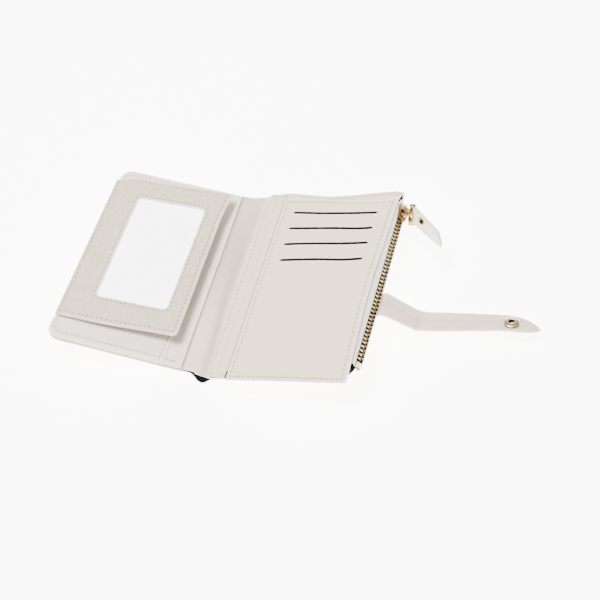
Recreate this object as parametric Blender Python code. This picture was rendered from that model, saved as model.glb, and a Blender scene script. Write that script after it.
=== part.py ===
# Compact snap-strap wallet, lying open on its outer cover.
# Millimetres are used for every constant and are turned into metres when a mesh is made.
import math
import bpy
import bmesh
from mathutils import Matrix, Vector

# ---------------------------------------------------------------- driving dimensions (mm, degrees)
SPINE = 18.0            # distance between the two fold lines of the cover
TILT_R = 10.0           # rise of the zipped half at rest
TILT_L = 12.0           # rise of the card-window half at rest
HALF_H = 65.0           # half the height of the closed wallet
COVER_T = 1.6           # outer leather with its backing
AXIS_Z = 0.8            # fold lines run through the middle of the cover
ORIGIN_X = 44.5         # the frame's origin is the middle of the flat rest patch

RIGHT_W = 88.3          # fold line to the right edge of the card panel
PANEL_X0 = 13.4
PANEL_Y0, PANEL_Y1 = -66.0, 60.3
PANEL_T = 1.0
SLOT_X0, SLOT_X1 = 22.9, 78.2
SLOT_Y = (50.4, 38.6, 26.8, 15.0)
SLOT_W = 0.7

LEFT_W = 85.0           # fold line to the left edge of the cover
FLAP_HINGE_X, FLAP_HINGE_N = 84.2, 4.7
FLAP_TILT = 4.5
FLAP_X0, FLAP_X1 = 1.6, 77.0
FLAP_Y0, FLAP_Y1 = -51.1, 53.1
WIN_X0, WIN_X1 = 20.0, 65.3
WIN_Y0, WIN_Y1 = -33.8, 40.4

ZIP_X, ZIP_N = 92.15, 4.0   # centre of the tooth chain at half height
ZIP_YAW = 1.66              # the chain gapes a little more at its closed end
ZIP_LEAN = 80.0             # the chain's face looks to the right, almost square to the panel
TOOTH_PITCH = 2.5
TOOTH_COUNT = 40
ZIP_Y0 = -49.5              # first tooth
SLIDER_Y = 51.0             # slider at the closed end
PULL_SWING = 40.0           # rest swing of the pull towards the front
RING_DROOP = 8.0            # the loose ring tips in its bridge
PULL_DROOP, PULL_ROLL = 16.0, 35.0   # and the tab tips and rolls on the ring

STRAP_Y = -11.5
STRAP_W = 16.0
STRAP_T = 1.4
STRAP_HX, STRAP_HN = 97.2, -2.0   # fold of the strap under the zip edge
STRAP_DROP = 35.6
STRAP_L1 = 20.8                   # fold to the crease on the floor
STRAP_L1B = 5.2                   # crease to the second fold
STRAP_TIP = 61.4                  # second fold to the pointed end
SNAP_S = 45.6                     # second fold to the press stud
SNAP_Y = -1.0                     # the stud sits a little towards the strap's front edge
STRAP_YAW, STRAP_PITCH = 6.4, 1.9
TWIST_1, TWIST_2 = -17.0, -22.0
FOLD_HIGH = 78.75                 # each fold line, from rest to closed
WRAP_HIGH = 139.6                 # strap fold, from rest to wrapped


# ---------------------------------------------------------------- clean scene
for ob in list(bpy.data.objects):
    bpy.data.objects.remove(ob, do_unlink=True)
SCENE = bpy.context.scene.collection


# ---------------------------------------------------------------- materials
def material(name, rgb, rough, metal=0.0, alpha=1.0):
    m = bpy.data.materials.new(name)
    m.use_nodes = True
    b = m.node_tree.nodes["Principled BSDF"]
    b.inputs["Base Color"].default_value = (rgb[0], rgb[1], rgb[2], 1.0)
    b.inputs["Roughness"].default_value = rough
    b.inputs["Metallic"].default_value = metal
    b.inputs["Alpha"].default_value = alpha
    m.diffuse_color = (rgb[0], rgb[1], rgb[2], alpha)
    return m


LEATHER = material("leather_cream", (0.78, 0.72, 0.67), 0.55)
LEATHER_FLAP = material("leather_brushed", (0.72, 0.66, 0.61), 0.65)
LINING = material("lining_black", (0.012, 0.012, 0.014), 0.8)
TAPE = material("zip_tape", (0.78, 0.79, 0.72), 0.8)
BRASS = material("antique_brass", (0.42, 0.30, 0.15), 0.38, 1.0)
GOLD = material("polished_gold", (0.80, 0.58, 0.28), 0.25, 1.0)
FILM = material("clear_film", (0.92, 0.94, 0.95), 0.08)
CARD = material("blank_card", (0.93, 0.93, 0.92), 0.5)


# ---------------------------------------------------------------- frames of the moving bodies
def rot_y(deg):
    return Matrix.Rotation(math.radians(deg), 4, 'Y')


def shift(x, y, z):
    return Matrix.Translation(Vector((x, y, z)))


ROOT = shift(-ORIGIN_X, 0, 0)
RIGHT = ROOT @ shift(SPINE / 2, 0, AXIS_Z) @ rot_y(-TILT_R)
SPINE_F = ROOT @ shift(SPINE / 2, 0, AXIS_Z)
LEFT = ROOT @ shift(-SPINE / 2, 0, AXIS_Z) @ rot_y(TILT_L)
FLAP = LEFT @ shift(-FLAP_HINGE_X, 0, FLAP_HINGE_N) @ rot_y(-FLAP_TILT)

# chain section: d runs across the chain, m is its outward normal, y runs along it
_lean = math.radians(ZIP_LEAN)
ZD = Vector((math.cos(_lean), 0, -math.sin(_lean)))
ZM = Vector((math.sin(_lean), 0, math.cos(_lean)))
_zip = Matrix.Identity(4)
for _i, _a in enumerate((ZM, Vector((0, 1, 0)), -ZD)):
    for _j in range(3):
        _zip[_j][_i] = _a[_j]
ZIP = RIGHT @ shift(ZIP_X, 0, ZIP_N) @ Matrix.Rotation(math.radians(-ZIP_YAW), 4, 'Z') @ _zip          # local x outward, y along, z up across the chain
SLIDER = ZIP @ shift(0, SLIDER_Y, 0)
PULL_HINGE = SLIDER @ shift(3.3, 0, 0)
RING = PULL_HINGE @ Matrix.Rotation(math.radians(-PULL_SWING), 4, 'Z') @ rot_y(RING_DROOP)
PULL = RING @ rot_y(PULL_DROOP - RING_DROOP) @ Matrix.Rotation(math.radians(-PULL_ROLL), 4, 'X')

STRAP_MID = RIGHT @ shift(STRAP_HX, STRAP_Y, STRAP_HN) @ rot_y(TILT_R)     # world-level axes at the fold


def basis(xdir, twist):
    x = xdir.normalized()
    n = x.cross(Vector((0, 1, 0))).normalized()
    if n.z < 0:
        n = -n
    w = n.cross(x).normalized()
    t = math.radians(twist)
    y = w * math.cos(t) + n * math.sin(t)
    z = x.cross(y).normalized()
    m = Matrix.Identity(4)
    for i, a in enumerate((x, y, z)):
        for j in range(3):
            m[j][i] = a[j]
    return m


D1 = Vector((math.cos(math.radians(STRAP_DROP)), 0, -math.sin(math.radians(STRAP_DROP))))
_yw, _pt = math.radians(STRAP_YAW), math.radians(STRAP_PITCH)
D2 = Vector((math.cos(_pt) * math.cos(_yw), math.cos(_pt) * math.sin(_yw), math.sin(_pt)))
STRAP_END = STRAP_MID @ Matrix.Translation(D1 * STRAP_L1 + D2 * STRAP_L1B) @ basis(D2, TWIST_2)

# wrapped pose of the strap end, from which the second fold's axis and the stud's place follow
_spine_dir = math.radians(180 - TILT_R - FOLD_HIGH)
_left_axis = Vector((math.cos(_spine_dir) * SPINE, 0, math.sin(_spine_dir) * SPINE))
GAPE = 180 - TILT_R - TILT_L - 2 * FOLD_HIGH          # the halves stay this far from parallel
_wrapped_mid = shift(STRAP_HX, STRAP_Y, STRAP_HN) @ rot_y(-WRAP_HIGH) @ rot_y(TILT_R)
_fold2 = _wrapped_mid @ (D1 * STRAP_L1 + D2 * STRAP_L1B)
_ga = math.radians(GAPE)
_end_rot = Matrix(((-math.cos(_ga), 0, math.sin(_ga), 0), (0, 1, 0, 0), (-math.sin(_ga), 0, -math.cos(_ga), 0), (0, 0, 0, 1)))
_a0 = basis(D2, TWIST_2)
_a1 = _wrapped_mid.to_3x3().to_4x4().inverted() @ _end_rot
_q = (_a1 @ _a0.inverted()).to_quaternion()
CREASE_AXIS_LOCAL, CREASE_ANGLE = _q.to_axis_angle()
_end_closed = Matrix.Translation(_fold2) @ _end_rot
_socket = _end_closed @ Vector((SNAP_S, SNAP_Y, 0))
# same point in the left half's own axes when it is folded over
_left_closed = Matrix.Translation(_left_axis) @ rot_y(-GAPE) @ rot_y(180)
STUD = _left_closed.inverted() @ _socket


def empty(name, world, parent=None):
    e = bpy.data.objects.new(name, None)
    e.empty_display_size = 0.01
    SCENE.objects.link(e)
    m = world.copy()
    m.translation = m.translation * 0.001
    if parent is not None:
        e.parent = parent
        e.matrix_parent_inverse = EMPTY_WORLD[parent.name].inverted()
    e.matrix_basis = m
    EMPTY_WORLD[name] = m
    return e


EMPTY_WORLD = {}
E_RIGHT = empty("body_right_half", RIGHT)
E_SPINE = empty("body_spine", SPINE_F, E_RIGHT)
E_LEFT = empty("body_left_half", LEFT, E_SPINE)
E_FLAP = empty("body_id_flap", FLAP, E_LEFT)
E_MID = empty("body_strap_mid", STRAP_MID, E_RIGHT)
E_END = empty("body_strap_end", STRAP_END, E_MID)
E_ZIP = empty("frame_zip", ZIP, E_RIGHT)
E_SLIDER = empty("body_slider", SLIDER, E_ZIP)
E_PULL_HINGE = empty("body_pull", PULL_HINGE, E_SLIDER)
E_RING = empty("frame_ring", RING, E_PULL_HINGE)
E_PULL = empty("frame_pull", PULL, E_PULL_HINGE)


# ---------------------------------------------------------------- mesh helpers
def make(name, bm, parent, mat, bevel=0.0, segments=1):
    bmesh.ops.recalc_face_normals(bm, faces=bm.faces[:])
    me = bpy.data.meshes.new(name)
    for v in bm.verts:
        v.co = v.co * 0.001
    bm.to_mesh(me)
    bm.free()
    ob = bpy.data.objects.new(name, me)
    SCENE.objects.link(ob)
    ob.parent = parent
    me.materials.append(mat)
    if bevel > 0:
        b = ob.modifiers.new("edges", 'BEVEL')
        b.width = bevel * 0.001
        b.segments = segments
        b.limit_method = 'ANGLE'
        b.angle_limit = math.radians(40)
    return ob


def smooth(t):
    t = max(0.0, min(1.0, t))
    return t * t * (3 - 2 * t)


def lines(a, b, n, r=0.0, k=3):
    """Grid lines from a to b, with k extra lines inside each rounded end."""
    if r <= 0:
        return [a + (b - a) * i / n for i in range(n + 1)]
    out = [a + r * i / k for i in range(k)]
    out += [a + r + (b - a - 2 * r) * i / n for i in range(n + 1)]
    out += [b - r + r * (i + 1) / k for i in range(k)]
    return out


def slab(name, parent, mat, x0, x1, y0, y1, low, top, nx=2, ny=2, r=0.0, corners=(1, 1, 1, 1), k=3, xs=None, ys=None):
    """A sheet between two height functions, its corners rounded to r where corners says (x0y0, x1y0, x1y1, x0y1)."""
    xs = xs or lines(x0, x1, nx, r, k)
    ys = ys or lines(y0, y1, ny, r, k)

    def place(x, y):
        dx = 0.0
        sx = 1
        if x < x0 + r:
            dx, sx = x0 + r - x, -1
        elif x > x1 - r:
            dx, sx = x - (x1 - r), 1
        dy = 0.0
        sy = 1
        if y < y0 + r:
            dy, sy = y0 + r - y, -1
        elif y > y1 - r:
            dy, sy = y - (y1 - r), 1
        if r > 0 and dx > 0 and dy > 0:
            i = {(-1, -1): 0, (1, -1): 1, (1, 1): 2, (-1, 1): 3}[(sx, sy)]
            if corners[i]:
                u, v = dx / r, dy / r
                dx2 = r * u * math.sqrt(1 - v * v / 2)
                dy2 = r * v * math.sqrt(1 - u * u / 2)
                x += sx * (dx2 - dx)
                y += sy * (dy2 - dy)
        return x, y

    bm = bmesh.new()
    grids = []
    for fn in (low, top):
        g = [[bm.verts.new((place(x, y)[0], place(x, y)[1], fn(*place(x, y)))) for y in ys] for x in xs]
        grids.append(g)
    nx_, ny_ = len(xs), len(ys)
    for i in range(nx_ - 1):
        for j in range(ny_ - 1):
            a = grids[0]
            bm.faces.new((a[i][j], a[i][j + 1], a[i + 1][j + 1], a[i + 1][j]))
            a = grids[1]
            bm.faces.new((a[i][j], a[i + 1][j], a[i + 1][j + 1], a[i][j + 1]))
    rim = [(i, 0) for i in range(nx_)] + [(nx_ - 1, j) for j in range(1, ny_)] + [(i, ny_ - 1) for i in range(nx_ - 2, -1, -1)] + [(0, j) for j in range(ny_ - 2, 0, -1)]
    for q in range(len(rim)):
        (i, j), (p, s) = rim[q], rim[(q + 1) % len(rim)]
        bm.faces.new((grids[0][i][j], grids[0][p][s], grids[1][p][s], grids[1][i][j]))
    return make(name, bm, parent, mat)


def flat(v):
    return lambda x, y: v


def prism(name, parent, mat, outline, axis, a, b, bevel=0.0, segments=1):
    """Extrude a closed outline. axis 'y': outline is (x, z); axis 'x': (y, z); axis 'z': (x, y)."""
    bm = bmesh.new()
    put = {'y': lambda p, t: (p[0], t, p[1]), 'x': lambda p, t: (t, p[0], p[1]), 'z': lambda p, t: (p[0], p[1], t)}[axis]
    face = bm.faces.new([bm.verts.new(put(p, a)) for p in outline])
    ext = bmesh.ops.extrude_face_region(bm, geom=[face])
    d = Vector(put((0, 0), b)) - Vector(put((0, 0), a))
    bmesh.ops.translate(bm, verts=[v for v in ext["geom"] if isinstance(v, bmesh.types.BMVert)], vec=d)
    return make(name, bm, parent, mat, bevel, segments)


def strip_outline(path, t):
    """Outline of a strip of thickness t that follows path."""
    up, dn = [], []
    for i, p in enumerate(path):
        a = Vector(path[max(0, i - 1)])
        b = Vector(path[min(len(path) - 1, i + 1)])
        d = (b - a).normalized()
        n = Vector((-d.y, d.x))
        up.append((p[0] + n.x * t / 2, p[1] + n.y * t / 2))
        dn.append((p[0] - n.x * t / 2, p[1] - n.y * t / 2))
    return up + dn[::-1]


def arc_path(points, steps=6):
    """A smooth path through the points (Catmull-Rom)."""
    out = []
    n = len(points)
    for i in range(n - 1):
        p0, p1, p2, p3 = points[max(0, i - 1)], points[i], points[i + 1], points[min(n - 1, i + 2)]
        for s in range(steps):
            t = s / steps
            out.append(tuple(0.5 * ((2 * p1[k]) + (p2[k] - p0[k]) * t + (2 * p0[k] - 5 * p1[k] + 4 * p2[k] - p3[k]) * t * t + (3 * p1[k] - p0[k] - 3 * p2[k] + p3[k]) * t ** 3) for k in (0, 1)))
    out.append(tuple(points[-1]))
    return out


def rounded_box(x0, x1, y0, y1, r, k=4):
    pts = []
    for cx, cy, a0 in ((x1 - r, y0 + r, -90), (x1 - r, y1 - r, 0), (x0 + r, y1 - r, 90), (x0 + r, y0 + r, 180)):
        for i in range(k + 1):
            a = math.radians(a0 + 90 * i / k)
            pts.append((cx + r * math.cos(a), cy + r * math.sin(a)))
    return pts


def cut(target, cutter):
    cutter.hide_render = True
    cutter.display_type = 'WIRE'
    m = target.modifiers.new("cut", 'BOOLEAN')
    m.operation = 'DIFFERENCE'
    m.solver = 'EXACT'
    m.object = cutter


def lathe(name, parent, mat, profile, steps=28, origin=(0, 0, 0)):
    """Turn a closed (radius, height) profile about the local z axis."""
    bm = bmesh.new()
    rings = []
    for i in range(steps):
        a = 2 * math.pi * i / steps
        ring = []
        for r, z in profile:
            ring.append(bm.verts.new((origin[0] + r * math.cos(a), origin[1] + r * math.sin(a), origin[2] + z)))
        rings.append(ring)
    n = len(profile)
    for i in range(steps):
        a, b = rings[i], rings[(i + 1) % steps]
        for j in range(n):
            bm.faces.new((a[j], b[j], b[(j + 1) % n], a[(j + 1) % n]))
    return make(name, bm, parent, mat)


def disc(name, parent, mat, profile, steps=28, origin=(0, 0, 0)):
    """Turn an open profile that starts and ends on the axis; the two end points are poles."""
    bm = bmesh.new()
    first = bm.verts.new((origin[0], origin[1], origin[2] + profile[0][1]))
    last = bm.verts.new((origin[0], origin[1], origin[2] + profile[-1][1]))
    rings = []
    for i in range(steps):
        a = 2 * math.pi * i / steps
        rings.append([bm.verts.new((origin[0] + r * math.cos(a), origin[1] + r * math.sin(a), origin[2] + z)) for r, z in profile[1:-1]])
    n = len(profile) - 2
    for i in range(steps):
        a, b = rings[i], rings[(i + 1) % steps]
        bm.faces.new((first, b[0], a[0]))
        bm.faces.new((last, a[n - 1], b[n - 1]))
        for j in range(n - 1):
            bm.faces.new((a[j], b[j], b[j + 1], a[j + 1]))
    return make(name, bm, parent, mat)


# ================================================================ right half: cover, lining, pages
def floor_n(x):
    """The floor, seen in the right half's own axes."""
    t = math.radians(TILT_R)
    return -(AXIS_Z + x * math.sin(t)) / math.cos(t)


def bow(x, y):
    """How far the cover bows down to the floor: 1 on the rest patch, 0 on its sewn edges."""
    wx = 1 - smooth((x - 64) / 22)
    back = 1 - 0.45 * smooth((y - 46) / 18)
    front = 1 - smooth((-y - 46) / 16)
    return wx * (back if y > 0 else front)


def cover_under(x, y):
    return -COVER_T / 2 + bow(x, y) * (floor_n(x) + COVER_T / 2)


BOW_X = [32, 64, 67, 70, 73, 76, 79, 82, 84, 86, 88]
BOW_Y = [-65, -63, -61, -60, -57, -54, -51, -48, -46, 0, 46, 48, 51, 54, 57, 60, 62, 64, 66]
slab("cover_right", E_RIGHT, LEATHER, 1.1, 88.0, -65.0, 66.0, cover_under, lambda x, y: cover_under(x, y) + COVER_T, r=4, corners=(0, 1, 1, 0), xs=[1.1] + BOW_X, ys=BOW_Y)
slab("bill_lining_right", E_RIGHT, LINING, 1.4, 86.0, -63.0, 64.0, lambda x, y: cover_under(x, y) + COVER_T + 0.35, lambda x, y: cover_under(x, y) + COVER_T + 0.65, r=2, corners=(0, 1, 1, 0), xs=[1.4] + BOW_X[:-1], ys=BOW_Y[1:-1])
slab("coin_pocket_back", E_RIGHT, LEATHER, 1.1, 87.0, -65.5, 65.0, flat(1.7), flat(2.6), nx=2, ny=2, r=3, corners=(0, 1, 1, 0))


def panel_low(x, y=0):
    return 3.9 + 1.4 * (x - PANEL_X0) / (RIGHT_W - PANEL_X0)


panel = slab("card_panel", E_RIGHT, LEATHER, PANEL_X0, RIGHT_W, PANEL_Y0, PANEL_Y1, panel_low, lambda x, y: panel_low(x) + PANEL_T, nx=4, ny=4, r=2.0, corners=(0, 1, 1, 0))
bm = bmesh.new()
for y in SLOT_Y:
    g = bmesh.ops.create_cube(bm, size=1.0)
    for v in g["verts"]:
        v.co = Vector(((SLOT_X0 + SLOT_X1) / 2 + v.co.x * (SLOT_X1 - SLOT_X0), y + v.co.y * SLOT_W, 5.0 + v.co.z * 8))
slot_cutter = make("slot_cutter", bm, E_RIGHT, LINING)
cut(panel, slot_cutter)

for k, y in enumerate(SLOT_Y):
    low_y = SLOT_Y[k + 1] + 1.2 if k < 3 else -38.0
    slab("card_sleeve_%d" % (k + 1), E_RIGHT, LINING, 20.5, 80.0, low_y, y + 0.9,
         lambda x, y_: panel_low(x) - 0.6, lambda x, y_: panel_low(x) - 0.3, nx=1, ny=1)

# zip tapes run from between the pages out to the tooth chain, which is nearer the pages at the front
def chain_x(y):
    return ZIP_X + y * math.tan(math.radians(ZIP_YAW))


def tape(name, fixed, free, d):
    """A tape lofted along y: its fixed part lies between the pages, its free part is squeezed up to the chain."""
    bm_ = bmesh.new()
    rings = []
    for i in range(TAPE_STEPS + 1):
        t = i / TAPE_STEPS
        y = TAPE_Y0 + (TAPE_Y1 - TAPE_Y0) * t
        end = (chain_x(y) + ZD.x * d, ZIP_N + ZD.z * d)
        path = fixed + free(end, fixed[-1][0], t) + [end]
        rings.append([bm_.verts.new((x, y, n)) for x, n in strip_outline(arc_path(path, 4), 0.34)])
    m = len(rings[0])
    half_ = m // 2
    for i in range(TAPE_STEPS):
        for j in range(m):
            bm_.faces.new((rings[i][j], rings[i][(j + 1) % m], rings[i + 1][(j + 1) % m], rings[i + 1][j]))
    for ring in (rings[0], rings[-1]):
        for j in range(half_ - 1):
            bm_.faces.new((ring[j], ring[j + 1], ring[m - 2 - j], ring[m - 1 - j]))
    return make(name, bm_, E_RIGHT, TAPE)


TAPE_Y0, TAPE_Y1, TAPE_STEPS = -59.0, 63.0, 6


def free_upper(end, x0, t):
    return [(x0 + (end[0] - 1.15 - x0) * (0.97 - 0.35 * t), 4.95 + 0.15 * t), (end[0] - 1.1, 6.15), (end[0] - 0.75, 6.7), (end[0] - 0.35, 6.92)]


def free_lower(end, x0, t):
    return [(x0 + (end[0] - x0) * 0.3, 2.35), (x0 + (end[0] - x0) * 0.62, 1.4), (end[0] - 0.75, 0.98)]


tape("zip_tape_upper", [(81.0, panel_low(81) - 0.5), (87.6, panel_low(87.6) - 0.5)], free_upper, -2.75)
tape("zip_tape_lower", [(81.0, 3.1), (87.4, 3.15)], free_lower, 2.75)

# the two rows of teeth, each a comb whose teeth pass between the other row's teeth
def comb(sign, phase):
    pts = []
    y = ZIP_Y0 + phase
    ys = [y + TOOTH_PITCH * i for i in range(TOOTH_COUNT)]
    w = 0.95
    y_end = ys[-1] + w / 2 + 0.1
    pts.append((ys[0] - w / 2 - 0.1, 2.45 * sign))
    pts.append((y_end, 2.45 * sign))
    pts.append((y_end, 1.75 * sign))
    for c in reversed(ys):
        pts += [(c + w / 2, 1.75 * sign), (c + w / 2, 0.45 * sign), (c + w / 4, -0.55 * sign), (c - w / 4, -0.55 * sign), (c - w / 2, 0.45 * sign), (c - w / 2, 1.75 * sign)]
    pts.append((ys[0] - w / 2 - 0.1, 1.75 * sign))
    return pts


prism("zip_teeth_upper", E_ZIP, BRASS, comb(1, 0.0), 'x', -0.6, 0.9)
prism("zip_teeth_lower", E_ZIP, BRASS, comb(-1, TOOTH_PITCH / 2), 'x', -0.6, 0.9)
prism("zip_bottom_stop", E_ZIP, GOLD, rounded_box(-53.6, -51.0, -2.3, 2.3, 0.5, 2), 'x', -0.6, 1.1)
prism("zip_top_stop_upper", E_ZIP, BRASS, rounded_box(57.4, 59.6, 0.5, 2.4, 0.4, 2), 'x', -0.6, 0.9)
prism("zip_top_stop_lower", E_ZIP, BRASS, rounded_box(57.4, 59.6, -2.4, -0.5, 0.4, 2), 'x', -0.6, 0.9)

# dark cloth gussets close the coin pocket at the ends of the zip
prism("gusset_front", E_RIGHT, LINING, [(84.0, 3.7), (87.0, 3.7), (88.9, 3.2), (89.6, 3.4), (89.6, 4.5), (88.9, 4.5), (88.3, 4.3), (84.0, 4.1)], 'y', -58.6, -57.8)
prism("gusset_back", E_RIGHT, LINING, [(84.0, 3.6), (86.8, 3.6), (90.2, 2.6), (92.0, 2.7), (92.0, 4.6), (90.6, 4.6), (88.6, 4.2), (84.0, 4.1)], 'y', 61.2, 62.0)

# ================================================================ slider and pull
prism("slider_body", E_SLIDER, GOLD, [(1.15, -3.4), (1.95, -3.4), (1.95, 3.4), (1.15, 3.4), (0.5, 3.4), (0.5, 2.8), (1.15, 2.8), (1.15, -2.8), (0.5, -2.8), (0.5, -3.4)], 'y', -4.6, 4.6)
prism("slider_back_plate", E_SLIDER, GOLD, rounded_box(-4.4, 4.4, -0.9, 0.9, 0.5, 2), 'x', -1.35, -0.9)
prism("slider_bridge", E_SLIDER, GOLD, [(-3.4, 2.25), (-2.3, 2.25), (-2.3, 4.4), (2.3, 4.4), (2.3, 2.25), (3.4, 2.25), (3.4, 4.8), (2.8, 5.4), (-2.8, 5.4), (-3.4, 4.8)], 'z', -0.8, 0.8)
for ob in (bpy.data.objects["slider_bridge"],):
    for v in ob.data.vertices:                       # outline was drawn as (y, x)
        x, y, z = v.co
        v.co = (y, x, z)
    ob.data.flip_normals()


def wire_loop(name, parent, mat, path, r, sides=8):
    """A closed wire of radius r along a closed planar path in the local xz plane."""
    bm = bmesh.new()
    n = len(path)
    rings = []
    for i in range(n):
        p = Vector((path[i][0], 0, path[i][1]))
        a = Vector((path[i - 1][0], 0, path[i - 1][1]))
        b = Vector((path[(i + 1) % n][0], 0, path[(i + 1) % n][1]))
        t = (b - a).normalized()
        side = t.cross(Vector((0, 1, 0))).normalized()
        rings.append([bm.verts.new(p + side * r * math.cos(2 * math.pi * j / sides) + Vector((0, 1, 0)) * r * math.sin(2 * math.pi * j / sides)) for j in range(sides)])
    for i in range(n):
        a, b = rings[i], rings[(i + 1) % n]
        for j in range(sides):
            bm.faces.new((a[j], b[j], b[(j + 1) % sides], a[(j + 1) % sides]))
    return make(name, bm, parent, mat)


wire_loop("pull_ring", E_RING, GOLD, rounded_box(0.0, 5.6, -4.7, 4.7, 1.6, 3), 0.6)
# leather tab: its folded end is closed round the ring's outer bar
TAB_L, TAB_W = 31.5, 12.0
tab_outline = [(7.9, -4.4), (29.9, -3.6), (31.2, -2.9), (31.6, -1.3), (30.5, 1.6), (27.6, 5.0), (26.4, 5.8), (7.9, 7.5)]
prism("pull_tab", E_PULL, LEATHER, tab_outline, 'y', -0.8, 0.8, 0.2)
prism("pull_clamp", E_PULL, GOLD, [(7.3, -3.9), (7.6, -3.9), (7.6, 7.0), (7.3, 7.0)], 'y', -0.9, 0.9)
for side, nm in ((1, "pull_rivet_front"), (-1, "pull_rivet_back")):
    ob = lathe(nm, E_PULL, GOLD, [(0.7, 0.0), (2.0, 0.0), (2.0, 0.35), (1.6, 0.7), (1.0, 0.7), (0.7, 0.4)], 16)
    for v in ob.data.vertices:
        x, y, z = v.co
        v.co = (x + 0.0130, -side * (z + 0.0011), y + 0.0028)
    if side < 0:
        ob.data.flip_normals()

# ================================================================ spine
slab("spine_cover", E_SPINE, LEATHER, -SPINE + 1.1, -1.1, -65.5, 65.5, flat(-COVER_T / 2), flat(COVER_T / 2), nx=2, ny=2)
slab("spine_inner_wall", E_SPINE, LEATHER, -SPINE / 2 - 4.4, -SPINE / 2 + 4.4, -64.5, 64.5, flat(1.1), flat(1.9), nx=2, ny=2)

# ================================================================ left half
slab("cover_left", E_LEFT, LEATHER, -LEFT_W, -1.1, -HALF_H, HALF_H, flat(-COVER_T / 2), flat(COVER_T / 2), nx=2, ny=2, r=8, corners=(1, 0, 0, 1), k=5)
slab("bill_lining_left", E_LEFT, LINING, -82.6, -1.4, -HALF_H + 1.4, HALF_H - 1.4, flat(1.1), flat(1.4), nx=1, ny=1, r=6, corners=(1, 0, 0, 1), k=3)
slab("bill_wall_left", E_LEFT, LEATHER, -LEFT_W + 1.0, -1.5, -HALF_H + 0.6, HALF_H - 0.6, flat(1.7), flat(2.6), nx=2, ny=2, r=7.4, corners=(1, 0, 0, 1), k=4)
slab("note_pocket", E_LEFT, LEATHER, -LEFT_W + 1.8, -11.5, -HALF_H + 1.2, HALF_H - 6.0, flat(2.9), flat(3.7), nx=2, ny=2, r=6.6, corners=(1, 0, 0, 1), k=4)
prism("flap_hinge_bead", E_LEFT, LEATHER, [(-FLAP_HINGE_X - 0.5, 4.0), (-FLAP_HINGE_X + 0.9, 4.0), (-FLAP_HINGE_X + 0.9, 4.6), (-FLAP_HINGE_X + 0.5, 5.3), (-FLAP_HINGE_X - 0.5, 5.3), (-FLAP_HINGE_X - 0.9, 4.7)], 'y', FLAP_Y0 + 1, FLAP_Y1 - 1)

# press stud on the outside of the cover
lathe_profile = [(0.0, -0.2), (4.6, -0.2), (4.6, -0.35), (3.9, -0.5), (1.6, -0.5), (1.3, -0.95), (1.45, -1.35), (1.1, -1.75), (0.0, -1.75)]
disc("snap_stud", E_LEFT, BRASS, [(r, z - COVER_T / 2 - 0.1) for r, z in lathe_profile], 24, (STUD.x, STUD.y, 0))

# ================================================================ card-window flap
slab("flap_back", E_FLAP, LEATHER, FLAP_X0, FLAP_X1, FLAP_Y0, FLAP_Y1, flat(-0.7), flat(-0.1), nx=1, ny=1, r=3.5, corners=(0, 1, 1, 0))
slab("insert_card", E_FLAP, CARD, WIN_X0 - 3.5, WIN_X1 + 3.5, WIN_Y0 - 4.0, WIN_Y1 + 4.0, flat(0.2), flat(0.5), nx=1, ny=1, r=3.0)
slab("window_film", E_FLAP, FILM, WIN_X0 - 5.0, WIN_X1 + 5.0, WIN_Y0 - 5.5, WIN_Y1 + 5.5, flat(0.8), flat(1.1), nx=1, ny=1)
frame = slab("flap_front", E_FLAP, LEATHER_FLAP, FLAP_X0, FLAP_X1, FLAP_Y0, FLAP_Y1, flat(1.4), flat(2.4), nx=1, ny=1, r=3.5, corners=(0, 1, 1, 0))
window_cutter = prism("window_cutter", E_FLAP, FILM, rounded_box(WIN_X0, WIN_X1, WIN_Y0, WIN_Y1, 2.6, 4), 'z', 0.9, 4.0)
cut(frame, window_cutter)

# ================================================================ strap
def ribbon(name, parent, stations, width, thick, mat):
    """A strip through stations (point, width direction, normal, half width left, half width right)."""
    bm = bmesh.new()
    rows = []
    for p, w, n, a, b in stations:
        rows.append([bm.verts.new(p - w * a - n * thick / 2), bm.verts.new(p + w * b - n * thick / 2), bm.verts.new(p + w * b + n * thick / 2), bm.verts.new(p - w * a + n * thick / 2)])
    for i in range(len(rows) - 1):
        a, b = rows[i], rows[i + 1]
        for j in range(4):
            bm.faces.new((a[j], b[j], b[(j + 1) % 4], a[(j + 1) % 4]))
    bm.faces.new(rows[0][::-1])
    bm.faces.new(rows[-1])
    return make(name, bm, parent, mat)


# sewn end, in the right half's axes: follows the bowed cover, then runs out under the zip
root = []
for x in (73, 76, 79, 82, 84, 86, 88, 92, 96.2):
    n = cover_under(min(x, 88), STRAP_Y) - 0.6 - STRAP_T / 2
    if x > 86:
        n = n + (STRAP_HN - n) * smooth((x - 86) / 6)
    root.append((x, n))
prism("strap_root", E_RIGHT, LEATHER, strip_outline(root, STRAP_T), 'y', STRAP_Y - STRAP_W / 2, STRAP_Y + STRAP_W / 2)

half = STRAP_W / 2
stations = []


def station(p, d, twist):
    b = basis(d, twist)
    return (p, b.col[1].to_3d(), b.col[2].to_3d(), half, half)


for s in (1.0, 5, 10, 15, STRAP_L1 - 2.2):
    stations.append(station(D1 * s, D1, TWIST_1 * smooth(s / STRAP_L1)))
mid_d = (D1 + D2).normalized()
stations.append(station(D1 * (STRAP_L1 - 0.35) + D2 * 0.35, mid_d, TWIST_1))
for s in (2.2, STRAP_L1B - 1.0):
    stations.append(station(D1 * STRAP_L1 + D2 * s, D2, TWIST_1 + (TWIST_2 - TWIST_1) * s / STRAP_L1B))
ribbon("strap_mid", E_MID, stations, STRAP_W, STRAP_T, LEATHER)

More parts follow.
